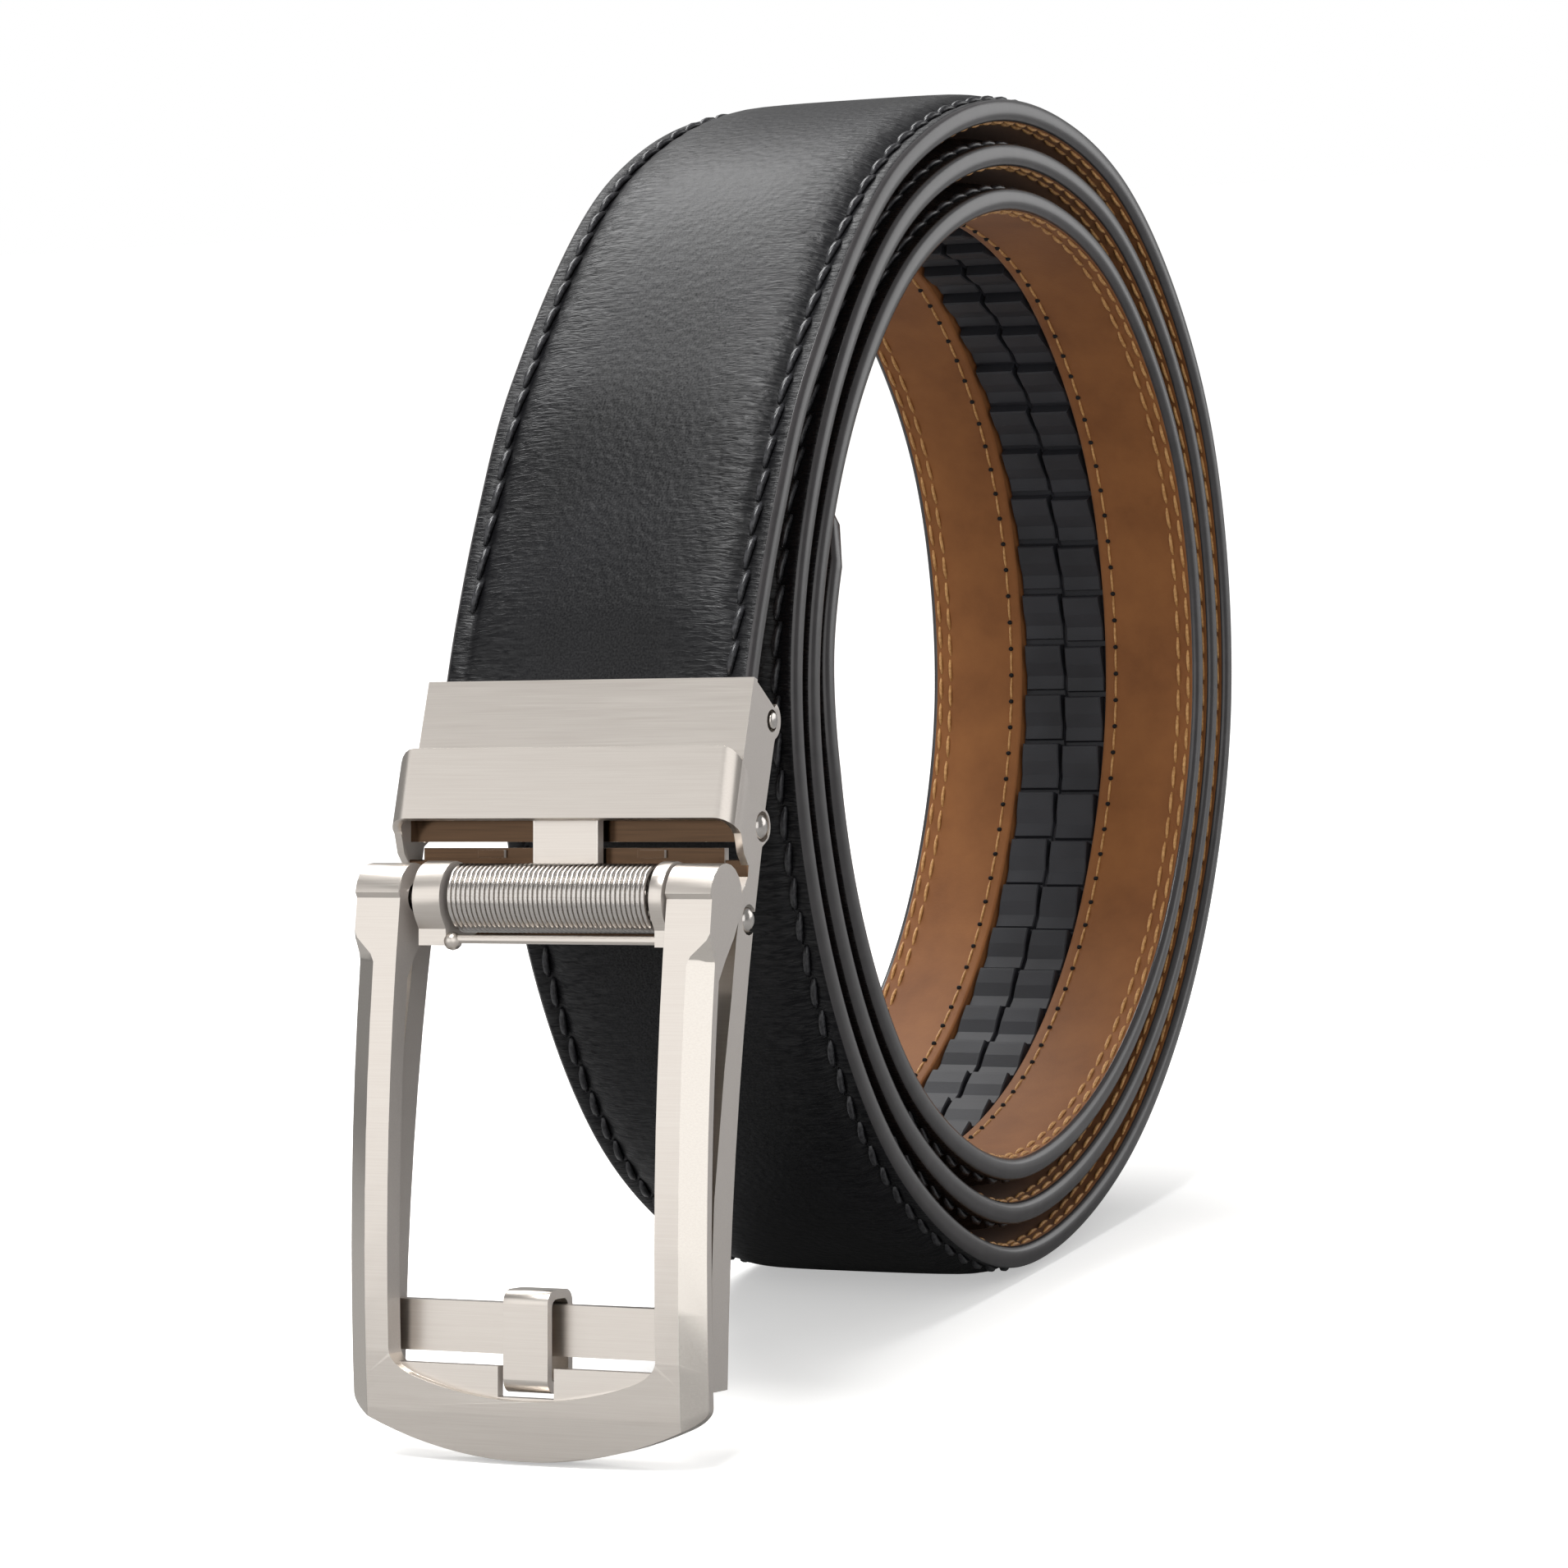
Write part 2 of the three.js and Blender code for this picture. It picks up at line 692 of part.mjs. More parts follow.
function frameFaceY(z, radius = frameBend) {
  const drop = z - frameMiddleZ;
  return frameFrontY + frameBend - Math.sqrt(radius * radius - drop * drop);
}

function frameFrontOutline() {
  const top = rodZ + lobeRadius + 1;
  const bottomCentre = frameBottomZ + frameBottomArc;
  const openingCentre = openingBottomZ + openingArc;
  const outerCornerX = frameHalf - frameCorner;
  const innerCornerX = legInner - openingCorner;
  const onArc = (x, centre, radius) => centre - Math.sqrt(radius * radius - x * x);
  const outerAngle = Math.asin(outerCornerX / frameBottomArc);
  const innerAngle = Math.asin(innerCornerX / openingArc);
  const shape = new THREE.Shape();
  shape.moveTo(-frameHalf, top);
  shape.lineTo(-frameHalf, onArc(outerCornerX, bottomCentre, frameBottomArc) + frameCorner);
  shape.quadraticCurveTo(-frameHalf, onArc(frameHalf, bottomCentre, frameBottomArc),
    -outerCornerX, onArc(outerCornerX, bottomCentre, frameBottomArc));
  shape.absarc(0, bottomCentre, frameBottomArc, -Math.PI / 2 - outerAngle, -Math.PI / 2 + outerAngle, false);
  shape.quadraticCurveTo(frameHalf, onArc(frameHalf, bottomCentre, frameBottomArc),
    frameHalf, onArc(outerCornerX, bottomCentre, frameBottomArc) + frameCorner);
  shape.lineTo(frameHalf, top);
  shape.lineTo(legInner, top);
  shape.lineTo(legInner, onArc(innerCornerX, openingCentre, openingArc) + openingCorner);
  shape.quadraticCurveTo(legInner, onArc(legInner, openingCentre, openingArc),
    innerCornerX, onArc(innerCornerX, openingCentre, openingArc));
  shape.absarc(0, openingCentre, openingArc, -Math.PI / 2 + innerAngle, -Math.PI / 2 - innerAngle, true);
  shape.quadraticCurveTo(-legInner, onArc(legInner, openingCentre, openingArc),
    -legInner, onArc(innerCornerX, openingCentre, openingArc) + openingCorner);
  shape.lineTo(-legInner, top);
  return shape;
}

function frameSideOutline() {
  const points = [];
  const low = frameBottomZ - 1;
  const rearRadius = frameBend - frameThickness;
  const steps = 10;
  for (let k = 0; k <= steps; k += 1) {
    const z = rodZ + (k / steps) * (low - rodZ);
    points.push([frameFaceY(z), z]);
  }
  const rearTop = rodZ - 2.3 * lobeRadius;
  for (let k = 0; k <= steps; k += 1) {
    const z = low + (k / steps) * (rearTop - low);
    points.push([frameFaceY(z, rearRadius), z]);
  }
  points.push([rodY - 0.2, rodZ - 1.72 * lobeRadius], [rodY + 0.48 * lobeRadius, rodZ - 1.1 * lobeRadius]);
  const turns = 12;
  for (let k = 0; k <= turns; k += 1) {
    const angle = (-0.15 + 1.1 * (k / turns)) * Math.PI;
    points.push([rodY + lobeRadius * Math.cos(angle), rodZ + lobeRadius * Math.sin(angle)]);
  }
  return points;
}

function chamferTool() {
  const slope = chamferDepth / chamferWidth;
  const spare = 0.8;
  const section = (z, shift) => {
    const y = frameFaceY(z);
    const outer = frameHalf + spare + shift;
    return [
      new THREE.Vector3(frameHalf - chamferWidth - spare + shift, y - spare * slope, z),
      new THREE.Vector3(outer, y + chamferDepth + spare * slope, z),
      new THREE.Vector3(outer, y - spare * slope, z),
    ];
  };
  // above its top the chamfer slides off the corner and fades out
  const rings = [];
  const fadeSteps = 4;
  for (let k = 0; k < fadeSteps; k += 1) {
    const t = k / fadeSteps;
    const ease = t * t * (3 - 2 * t);
    rings.push(section(chamferTopZ + chamferRunOut * (1 - t), (chamferWidth + 0.02) * (1 - ease)));
  }
  const steps = 9;
  for (let k = 0; k <= steps; k += 1) {
    rings.push(section(chamferTopZ + (k / steps) * (frameBottomZ - 2 - chamferTopZ), 0));
  }
  return loft(rings);
}

function frontFrameGeometry() {
  const room = 10;
  const ring = frontPlate(frameFrontOutline(), frameFrontY - room, rodY + room);
  const bent = common(ring, sidePlate(frameSideOutline(), -frameHalf - 1, frameHalf + 1));
  const ledgeFront = frameFaceY(ledgeTopZ) + ledgeRecess;
  const ledge = box(-legInner - 0.3, legInner + 0.3, ledgeFront, ledgeFront + ledgeThickness,
    openingBottomZ - 0.4, ledgeTopZ);
  const w = prongWidth / 2 + notchGap;
  const notch = box(-w, w, frameFrontY - 1, ledgeFront + ledgeThickness + 1,
    prongBottomZ - 0.45, ledgeTopZ + 1);
  const bore = bar(rodRadius + clearance, -legInner - boreDepth, legInner + boreDepth, rodY, rodZ);
  const chamfer = chamferTool();
  return cut(join(bent, ledge), chamfer, mirrored(chamfer), notch, bore);
}

// The whole belt

function strapGroup() {
  const group = new THREE.Group();
  group.add(
    meshOf('strap_leather', leatherGeometry(), finish.leather),
    meshOf('strap_lining', liningGeometry(), finish.lining),
    meshOf('ratchet_track', trackGeometry(), finish.rubber),
  );
  return group;
}

function clampGroup() {
  const group = new THREE.Group();
  group.add(
    meshOf('clamp_box', clampGeometry(), finish.nickel),
    meshOf('clamp_flap', flapGeometry(), finish.steel),
    meshOf('clamp_pin', clampPinGeometry(), finish.steel),
  );
  group.position.set(0, clampFrontY, clampTopZ);
  group.rotation.x = -clampLean * radians;
  return group;
}

function buckleGroup() {
  const group = new THREE.Group();
  const pin = hingePinGeometry();
  const rivet = baseRivetGeometry();
  const rodEnd = legInner + boreDepth - clearance;
  group.add(
    meshOf('buckle_base', baseGeometry(), finish.nickel),
    meshOf('hinge_pin_right', pin, finish.steel),
    meshOf('hinge_pin_left', mirrored(pin), finish.steel),
    meshOf('base_rivet_right', rivet, finish.steel),
    meshOf('base_rivet_left', mirrored(rivet), finish.steel),
    meshOf('pawl_tongue', tongueGeometry(), finish.nickel),
    meshOf('spring_rod', bar(rodRadius, -rodEnd, rodEnd, rodY, rodZ), finish.steel),
    meshOf('return_spring', springGeometry(), finish.steel),
    meshOf('faux_prong', prongGeometry(), finish.nickel),
    meshOf('front_frame', frontFrameGeometry(), finish.nickel),
  );
  group.position.y = clampFrontY;
  return group;
}

function lowestOf(mesh, turn) {
  const place = new THREE.Matrix4().makeRotationX(turn).multiply(mesh.matrixWorld);
  const position = mesh.geometry.attributes.position;
  const point = new THREE.Vector3();
  let lowest = Infinity;
  for (let k = 0; k < position.count; k += 1) {
    point.fromBufferAttribute(position, k).applyMatrix4(place);
    lowest = Math.min(lowest, point.z);
  }
  return lowest;
}

// The turn at which the coil and the front frame are equally low.
function restTurn(group) {
  group.updateMatrixWorld(true);
  const coil = group.getObjectByName('strap_leather');
  const frame = group.getObjectByName('front_frame');
  let under = 0;
  let over = -60 * radians;
  for (let k = 0; k < 40; k += 1) {
    const turn = (under + over) / 2;
    if (lowestOf(frame, turn) < lowestOf(coil, turn)) under = turn;
    else over = turn;
  }
  return (under + over) / 2;
}

function standOnFloor(group) {
  group.rotation.x = restTurn(group);
  group.updateMatrixWorld(true);
  const bounds = new THREE.Box3().setFromObject(group, true);
  group.position.set(0, -(bounds.min.y + bounds.max.y) / 2, -bounds.min.z);
  group.updateMatrixWorld(true);
  return group;
}

const group = new THREE.Group();
group.add(strapGroup(), clampGroup(), buckleGroup());
standOnFloor(group);

export default group;
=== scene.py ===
import math
import bpy
import numpy as np
from mathutils import Matrix, Vector


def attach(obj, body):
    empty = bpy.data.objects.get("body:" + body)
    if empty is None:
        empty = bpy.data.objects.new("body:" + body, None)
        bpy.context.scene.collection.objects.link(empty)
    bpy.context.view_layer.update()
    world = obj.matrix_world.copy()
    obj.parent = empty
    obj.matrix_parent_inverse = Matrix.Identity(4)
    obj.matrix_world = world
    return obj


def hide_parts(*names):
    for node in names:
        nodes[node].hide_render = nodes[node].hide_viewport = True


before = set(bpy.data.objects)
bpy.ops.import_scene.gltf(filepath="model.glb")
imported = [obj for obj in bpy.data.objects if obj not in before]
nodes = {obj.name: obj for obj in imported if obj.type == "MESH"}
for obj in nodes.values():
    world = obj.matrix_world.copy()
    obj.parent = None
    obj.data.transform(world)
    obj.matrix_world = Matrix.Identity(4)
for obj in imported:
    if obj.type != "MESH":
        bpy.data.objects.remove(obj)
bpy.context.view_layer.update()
print("frame loaded:", len(nodes), "nodes")

mm = 0.001

# The belt is drawn upright, in mm, with the coil's axis at Y 0, Z 0, and rolled forward onto the floor.
rest = {"turn": -0.15243310984754394, "moveY": 12.30689755635651, "moveZ": 65.86645236297313}
restPlace = Matrix.Translation((0, rest["moveY"], rest["moveZ"])) @ Matrix.Rotation(rest["turn"], 4, "X")


def toWorld(points):
    grid = np.asarray(points, float).reshape(-1, 3)
    matrix = np.array(restPlace)
    return (grid @ matrix[:3, :3].T + matrix[:3, 3]) * mm


def linear(code):
    # sRGB hex to the linear values that sockets take
    parts = [int(code[k:k + 2], 16) / 255 for k in (1, 3, 5)]
    return tuple(p / 12.92 if p <= 0.04045 else ((p + 0.055) / 1.055) ** 2.4 for p in parts) + (1.0,)


def grey(value):
    return (value, value, value, 1.0)


# Camera, floor and light

cameraValues = {"focal": 121.86, "turn": 26.0, "distance": 597.0, "across": -10.1, "height": -18.05,
                "shiftY": 0.0398}


def addCamera(values):
    angle = math.radians(values["turn"])
    right = Vector((math.cos(angle), math.sin(angle), 0))
    ahead = Vector((-math.sin(angle), math.cos(angle), 0))
    place = right * values["across"] - ahead * values["distance"] + Vector((0, 0, values["height"]))
    basis = Matrix((right, Vector((0, 0, 1)), -ahead)).transposed().to_4x4()
    camera = bpy.data.objects.new("camera", bpy.data.cameras.new("camera"))
    bpy.context.scene.collection.objects.link(camera)
    camera.data.lens = values["focal"]
    camera.data.sensor_width = 36
    camera.data.shift_y = values["shiftY"]
    camera.data.clip_end = 20
    world = restPlace @ Matrix.Translation(place) @ basis
    world.translation *= mm
    camera.matrix_world = world
    bpy.context.scene.camera = camera
    return camera


addCamera(cameraValues)

# radiance of each card is its watts over pi times its area; the front card is what the nickel mirrors
lightValues = {
    "frontCard": {"at": (-0.42, -0.8, 0.24), "size": (1.0, 0.8), "watts": 2.5, "aim": (0, -0.06, 0.05)},
    "overhead": {"at": (-0.04, -0.26, 0.74), "size": (0.28, 0.32), "watts": 4.4, "aim": (0, -0.03, 0.1)},
    "backRight": {"at": (0.62, 0.95, 0.3), "size": (0.7, 0.8), "watts": 2.6, "aim": (0, 0.02, 0.07)},
    "insideFill": {"at": (0.55, -0.75, 0.3), "size": (1.0, 1.0), "watts": 3.3, "aim": (0, 0.06, 0.06)},
}
sunValues = {"from": (-0.55, 0.4, 0.9), "strength": 1.7, "softness": 34.0}


def addLight(name, values):
    light = bpy.data.objects.new(name, bpy.data.lights.new(name, "AREA"))
    bpy.context.scene.collection.objects.link(light)
    light.data.shape = "RECTANGLE"
    light.data.size, light.data.size_y = values["size"]
    light.data.energy = values["watts"]
    light.location = values["at"]
    toward = Vector(values["aim"]) - Vector(values["at"])
    light.rotation_euler = toward.to_track_quat("-Z", "Y").to_euler()


for lightName, lightSet in lightValues.items():
    addLight(lightName, lightSet)
sun = bpy.data.objects.new("sun", bpy.data.lights.new("sun", "SUN"))
bpy.context.scene.collection.objects.link(sun)
sun.data.energy = sunValues["strength"]
sun.data.angle = math.radians(sunValues["softness"])
sun.rotation_euler = (-Vector(sunValues["from"])).to_track_quat("-Z", "Y").to_euler()
bpy.context.scene.view_settings.view_transform = "Standard"


def addNode(tree, kind, settings=None, links=None):
    node = tree.nodes.new(kind)
    for name, value in (settings or {}).items():
        if name in node.inputs.keys() or isinstance(name, int):
            node.inputs[name].default_value = value
        else:
            setattr(node, name, value)
    for name, socket in (links or {}).items():
        tree.links.new(socket, node.inputs[name])
    return node


def newMaterial(name):
    material = bpy.data.materials.new(name)
    material.use_nodes = True
    tree = material.node_tree
    tree.nodes.clear()
    return material, tree


def finishMaterial(tree, shader):
    addNode(tree, "ShaderNodeOutputMaterial", {}, {"Surface": shader.outputs["BSDF"]})


# The room is dim, so that black leather stays black, and only its backdrop is white.
studioValues = {"room": 0.3, "backdrop": 1.0, "paperGlow": 0.42, "paperDim": 0.34}
world = bpy.data.worlds.new("studio")
bpy.context.scene.world = world
world.use_nodes = True
world.node_tree.nodes.clear()
seen = addNode(world.node_tree, "ShaderNodeLightPath").outputs["Is Camera Ray"]
dimRoom = addNode(world.node_tree, "ShaderNodeBackground", {"Color": (1, 1, 1, 1), "Strength": studioValues["room"]})
backdrop = addNode(world.node_tree, "ShaderNodeBackground", {"Color": (1, 1, 1, 1),
                   "Strength": studioValues["backdrop"]})
room = addNode(world.node_tree, "ShaderNodeMixShader", {}, {0: seen, 1: dimRoom.outputs[0], 2: backdrop.outputs[0]})
addNode(world.node_tree, "ShaderNodeOutputWorld", {}, {"Surface": room.outputs[0]})

floorMesh = bpy.data.meshes.new("floor")
floorMesh.from_pydata([(-6, -6, 0), (6, -6, 0), (6, 6, 0), (-6, 6, 0)], [], [(0, 1, 2, 3)])
floor = bpy.data.objects.new("floor", floorMesh)
bpy.context.scene.collection.objects.link(floor)
floorPaper, floorTree = newMaterial("whitePaper")
# matt studio paper that glows a little to the camera, so that it stays white round a soft shadow
paperSeen = addNode(floorTree, "ShaderNodeLightPath").outputs["Is Camera Ray"]
paperLit = addNode(floorTree, "ShaderNodeBsdfPrincipled", {
    "Base Color": linear("#f2f1ef"), "Roughness": 0.95, "Specular IOR Level": 0.0,
    "Emission Color": (1, 1, 1, 1), "Emission Strength": studioValues["paperGlow"]})
paperDim = addNode(floorTree, "ShaderNodeBsdfPrincipled", {
    "Base Color": grey(studioValues["paperDim"]), "Roughness": 0.95, "Specular IOR Level": 0.0})
paper = addNode(floorTree, "ShaderNodeMixShader", {}, {0: paperSeen, 1: paperDim.outputs[0], 2: paperLit.outputs[0]})
addNode(floorTree, "ShaderNodeOutputMaterial", {}, {"Surface": paper.outputs[0]})
floorMesh.materials.append(floorPaper)
print("camera, light and floor done")

# Materials


def ramp(tree, factor, stops):
    node = addNode(tree, "ShaderNodeValToRGB", {}, {"Fac": factor})
    elements = node.color_ramp.elements
    while len(elements) < len(stops):
        elements.new(0.5)
    for element, (position, colour) in zip(elements, stops):
        element.position = position
        element.color = colour if isinstance(colour, tuple) else linear(colour)
    return node.outputs["Color"]


# Leather, edge paint and lining use the strap's own layout in mm: U along it and V across it.
leatherValues = {
    "grain": 0.75, "fine": 0.22, "creaseAlong": 0.34, "creaseAcross": 2.0,
    "grainHeight": 0.11, "fineHeight": 0.02, "creaseHeight": 0.24, "calmTo": 4.0, "creasedFrom": 14.0,
    "dark": "#09090b", "light": "#111114", "roughness": (0.36, 0.5), "shine": (0.14, 0.44),
}


def blackLeather(values):
    # full-grain cowhide, drum-dyed black and lightly waxed: a soft broken sheen over a fine pebbled grain
    material, tree = newMaterial("blackCowhide")
    layout = addNode(tree, "ShaderNodeUVMap", {"uv_map": "strapMm"}).outputs["UV"]
    pebble = addNode(tree, "ShaderNodeTexVoronoi", {"Scale": 1 / values["grain"], "feature": "SMOOTH_F1",
                     "Randomness": 1.0}, {"Vector": layout})
    fine = addNode(tree, "ShaderNodeTexNoise", {"Scale": 1 / values["fine"], "Detail": 3.0}, {"Vector": layout})
    stretched = addNode(tree, "ShaderNodeMapping", {"Scale": (1 / values["creaseAlong"], 1 / values["creaseAcross"],
                        1)}, {"Vector": layout})
    crease = addNode(tree, "ShaderNodeTexNoise", {"Scale": 1.0, "Detail": 2.0, "Distortion": 1.1},
                     {"Vector": stretched.outputs["Vector"]})
    split = addNode(tree, "ShaderNodeSeparateXYZ", {}, {"Vector": layout})
    side = addNode(tree, "ShaderNodeMath", {"operation": "ABSOLUTE"}, {0: split.outputs["Y"]})
    near = addNode(tree, "ShaderNodeMapRange", {
        "From Min": values["calmTo"], "From Max": values["creasedFrom"], "To Min": 0.15, "To Max": 1.0,
        "interpolation_type": "SMOOTHSTEP"}, {"Value": side.outputs[0]})
    broad = addNode(tree, "ShaderNodeTexNoise", {"Scale": 0.06, "Detail": 3.0}, {"Vector": layout})
    colour = ramp(tree, broad.outputs["Fac"], [(0.35, values["dark"]), (0.7, values["light"])])
    smoothest, roughest = values["roughness"]
    gloss = addNode(tree, "ShaderNodeMapRange", {
        "From Min": 0.3, "From Max": 0.75, "To Min": smoothest, "To Max": roughest}, {"Value": fine.outputs["Fac"]})
    lines = addNode(tree, "ShaderNodeMath", {"operation": "MULTIPLY"},
                    {0: crease.outputs["Fac"], 1: near.outputs["Result"]})
    first = addNode(tree, "ShaderNodeBump", {"Strength": 0.55, "Distance": values["creaseHeight"] * mm},
                    {"Height": lines.outputs[0]})
    second = addNode(tree, "ShaderNodeBump", {"Strength": 0.5, "Distance": values["grainHeight"] * mm},
                     {"Height": pebble.outputs["Distance"], "Normal": first.outputs["Normal"]})
    third = addNode(tree, "ShaderNodeBump", {"Strength": 0.35, "Distance": values["fineHeight"] * mm},
                    {"Height": fine.outputs["Fac"], "Normal": second.outputs["Normal"]})
    # wax shines on the ridges: of the creases towards the edges, of the fine grain in the middle
    ridges = addNode(tree, "ShaderNodeMix", {"data_type": "FLOAT"},
                     {0: near.outputs["Result"], 2: fine.outputs["Fac"], 3: crease.outputs["Fac"]})
    dullest, shiniest = values["shine"]
    shine = addNode(tree, "ShaderNodeMapRange", {
        "From Min": 0.34, "From Max": 0.68, "To Min": dullest, "To Max": shiniest}, {"Value": ridges.outputs[0]})
    shader = addNode(tree, "ShaderNodeBsdfPrincipled", {"IOR": 1.5}, {
        "Base Color": colour, "Roughness": gloss.outputs["Result"], "Specular IOR Level": shine.outputs["Result"],
        "Normal": third.outputs["Normal"]})
    finishMaterial(tree, shader)
    return material


paintValues = {"wavesPerMm": 0.35, "waveHeight": 0.05, "dark": "#323031", "light": "#3e3b3c", "roughness": 0.3}


def edgePaint(values):
    # several coats of burnished acrylic edge paint: smooth, dark grey and half glossy
    material, tree = newMaterial("edgePaint")
    layout = addNode(tree, "ShaderNodeUVMap", {"uv_map": "strapMm"}).outputs["UV"]
    wave = addNode(tree, "ShaderNodeTexNoise", {"Scale": values["wavesPerMm"], "Detail": 4.0}, {"Vector": layout})
    colour = ramp(tree, wave.outputs["Fac"], [(0.3, values["dark"]), (0.7, values["light"])])
    bump = addNode(tree, "ShaderNodeBump", {"Strength": 0.2, "Distance": values["waveHeight"] * mm},
                   {"Height": wave.outputs["Fac"]})
    shader = addNode(tree, "ShaderNodeBsdfPrincipled", {
        "Roughness": values["roughness"], "Coat Weight": 0.3, "Coat Roughness": 0.2},
        {"Base Color": colour, "Normal": bump.outputs["Normal"]})
    finishMaterial(tree, shader)
    return material


tanValues = {"cloudsPerMm": 0.09, "napPerMm": 2.6, "napHeight": 0.04, "dark": "#7c4d28", "light": "#946034",
             "roughness": 0.62}


def tanLeather(values):
    # vegetable-tanned split, aniline dyed tan: matt, with cloudy colour and a faint nap
    material, tree = newMaterial("tanSplitLeather")
    layout = addNode(tree, "ShaderNodeUVMap", {"uv_map": "strapMm"}).outputs["UV"]
    cloud = addNode(tree, "ShaderNodeTexNoise", {
        "Scale": values["cloudsPerMm"], "Detail": 5.0, "Roughness": 0.6}, {"Vector": layout})
    nap = addNode(tree, "ShaderNodeTexNoise", {"Scale": values["napPerMm"], "Detail": 4.0}, {"Vector": layout})
    colour = ramp(tree, cloud.outputs["Fac"], [(0.3, values["dark"]), (0.7, values["light"])])
    bump = addNode(tree, "ShaderNodeBump", {"Strength": 0.5, "Distance": values["napHeight"] * mm},
                   {"Height": nap.outputs["Fac"]})
    shader = addNode(tree, "ShaderNodeBsdfPrincipled", {
        "Roughness": values["roughness"], "Specular IOR Level": 0.22, "Sheen Weight": 0.1},
        {"Base Color": colour, "Normal": bump.outputs["Normal"]})
    finishMaterial(tree, shader)
    return material


rubberValues = {"speck": 0.25, "speckHeight": 0.02, "cloud": 9, "dark": "#232428", "light": "#303136",
                "roughness": 0.55}


def mouldedRubber(values):
    # injection-moulded thermoplastic rubber: charcoal, satin, with a faint spark-eroded texture
    material, tree = newMaterial("mouldedRubber")
    place = addNode(tree, "ShaderNodeTexCoord").outputs["Object"]
    speck = addNode(tree, "ShaderNodeTexNoise", {"Scale": 1 / (values["speck"] * mm), "Detail": 2.0},
                    {"Vector": place})
    cloud = addNode(tree, "ShaderNodeTexNoise", {"Scale": 1 / (values["cloud"] * mm), "Detail": 2.0},
                    {"Vector": place})
    colour = ramp(tree, cloud.outputs["Fac"], [(0.3, values["dark"]), (0.7, values["light"])])
    bump = addNode(tree, "ShaderNodeBump", {"Strength": 0.3, "Distance": values["speckHeight"] * mm},
                   {"Height": speck.outputs["Fac"]})
    shader = addNode(tree, "ShaderNodeBsdfPrincipled", {
        "Roughness": values["roughness"], "Specular IOR Level": 0.4},
        {"Base Color": colour, "Normal": bump.outputs["Normal"]})
    finishMaterial(tree, shader)
    return material


threadValues = {"ply": 0.35, "plyHeight": 0.04}


def sewingThread(name, dark, light, roughness):
    # bonded polyester thread: its plies show as small changes of colour along each stitch
    material, tree = newMaterial(name)
    place = addNode(tree, "ShaderNodeTexCoord").outputs["Object"]
    ply = addNode(tree, "ShaderNodeTexNoise", {"Scale": 1 / (threadValues["ply"] * mm), "Detail": 2.0},
                  {"Vector": place})
    colour = ramp(tree, ply.outputs["Fac"], [(0.35, dark), (0.65, light)])
    bump = addNode(tree, "ShaderNodeBump", {"Strength": 0.5, "Distance": threadValues["plyHeight"] * mm},
                   {"Height": ply.outputs["Fac"]})
    shader = addNode(tree, "ShaderNodeBsdfPrincipled", {"Roughness": roughness},
                     {"Base Color": colour, "Normal": bump.outputs["Normal"]})
    finishMaterial(tree, shader)
    return material


hairValues = {"length": 9, "width": 0.14, "depth": 0.01}


def nickel(name, tone, shade, roughness, brushed, metallic=1.0):
    # zinc alloy under nickel plate, brushed across the belt, which leaves faint hair lines
    material, tree = newMaterial(name)
    place = addNode(tree, "ShaderNodeTexCoord").outputs["Object"]
    long, thin = 1 / (hairValues["length"] * mm), 1 / (hairValues["width"] * mm)
    hair = addNode(tree, "ShaderNodeMapping", {"Scale": (long, thin, thin)}, {"Vector": place})
    streak = addNode(tree, "ShaderNodeTexNoise", {"Scale": 1.0, "Detail": 3.0}, {"Vector": hair.outputs["Vector"]})
    colour = ramp(tree, streak.outputs["Fac"], [(0.3, shade), (0.7, tone)])
    gloss = addNode(tree, "ShaderNodeMapRange", {"From Min": 0.3, "From Max": 0.7, "To Min": roughness * 0.94,
                    "To Max": roughness * 1.08}, {"Value": streak.outputs["Fac"]})
    bump = addNode(tree, "ShaderNodeBump", {"Strength": brushed, "Distance": hairValues["depth"] * mm},
                   {"Height": streak.outputs["Fac"]})
    shader = addNode(tree, "ShaderNodeBsdfPrincipled", {"Metallic": metallic},
                     {"Base Color": colour, "Roughness": gloss.outputs["Result"], "Normal": bump.outputs["Normal"]})
    finishMaterial(tree, shader)
    return material


cowhide = blackLeather(leatherValues)
paint = edgePaint(paintValues)
lining = tanLeather(tanValues)
rubber = mouldedRubber(rubberValues)
blackThread = sewingThread("blackThread", "#19191b", "#38383b", 0.3)
tanThread = sewingThread("tanThread", "#b07d45", "#d2a267", 0.55)
# near-black domes at the needle holes: painted shade in the holes
holeShade = sewingThread("needleHoleShade", "#050505", "#0d0b0a", 0.8)
satinNickel = nickel("satinNickel", "#dad3cb", "#d4ccc4", 0.3, 0.06)
polishedNickel = nickel("polishedNickel", "#dbd5cd", "#d6cfc7", 0.12, 0.02)
# faces that face sideways get a lighter copy of the nickel, set less metallic so that it scatters light: painted
# light on the sides
sideLitNickel = nickel("sideLitNickel", "#cdc6c0", "#c5beb8", 0.42, 0.05, 0.35)
# the plate fronts in the recess behind the keeper are dark brown: painted shade and painted reflection
recessShadeNickel = nickel("recessShadeNickel", "#5a4636", "#4a3a2d", 0.22, 0.03)
drawnSteel = nickel("drawnSteel", "#cfcac5", "#c2bdb8", 0.2, 0.05)
print("materials done")

# Strap

strapValues = {
    "half": 17.5, "padRise": 8.0, "tipLength": 11.0, "tipPower": 2.4, "tipTaper": 0.06, "taperLength": 34.0,
    "coilRadius": 65.0, "coilStep": 30, "pitch": 4.1, "tailAngle": 1108.0, "clampFace": 1.1, "grip": 9.7,
    "clampY": -67.9, "clampZ": -1.2, "clampLean": 17.0,
}
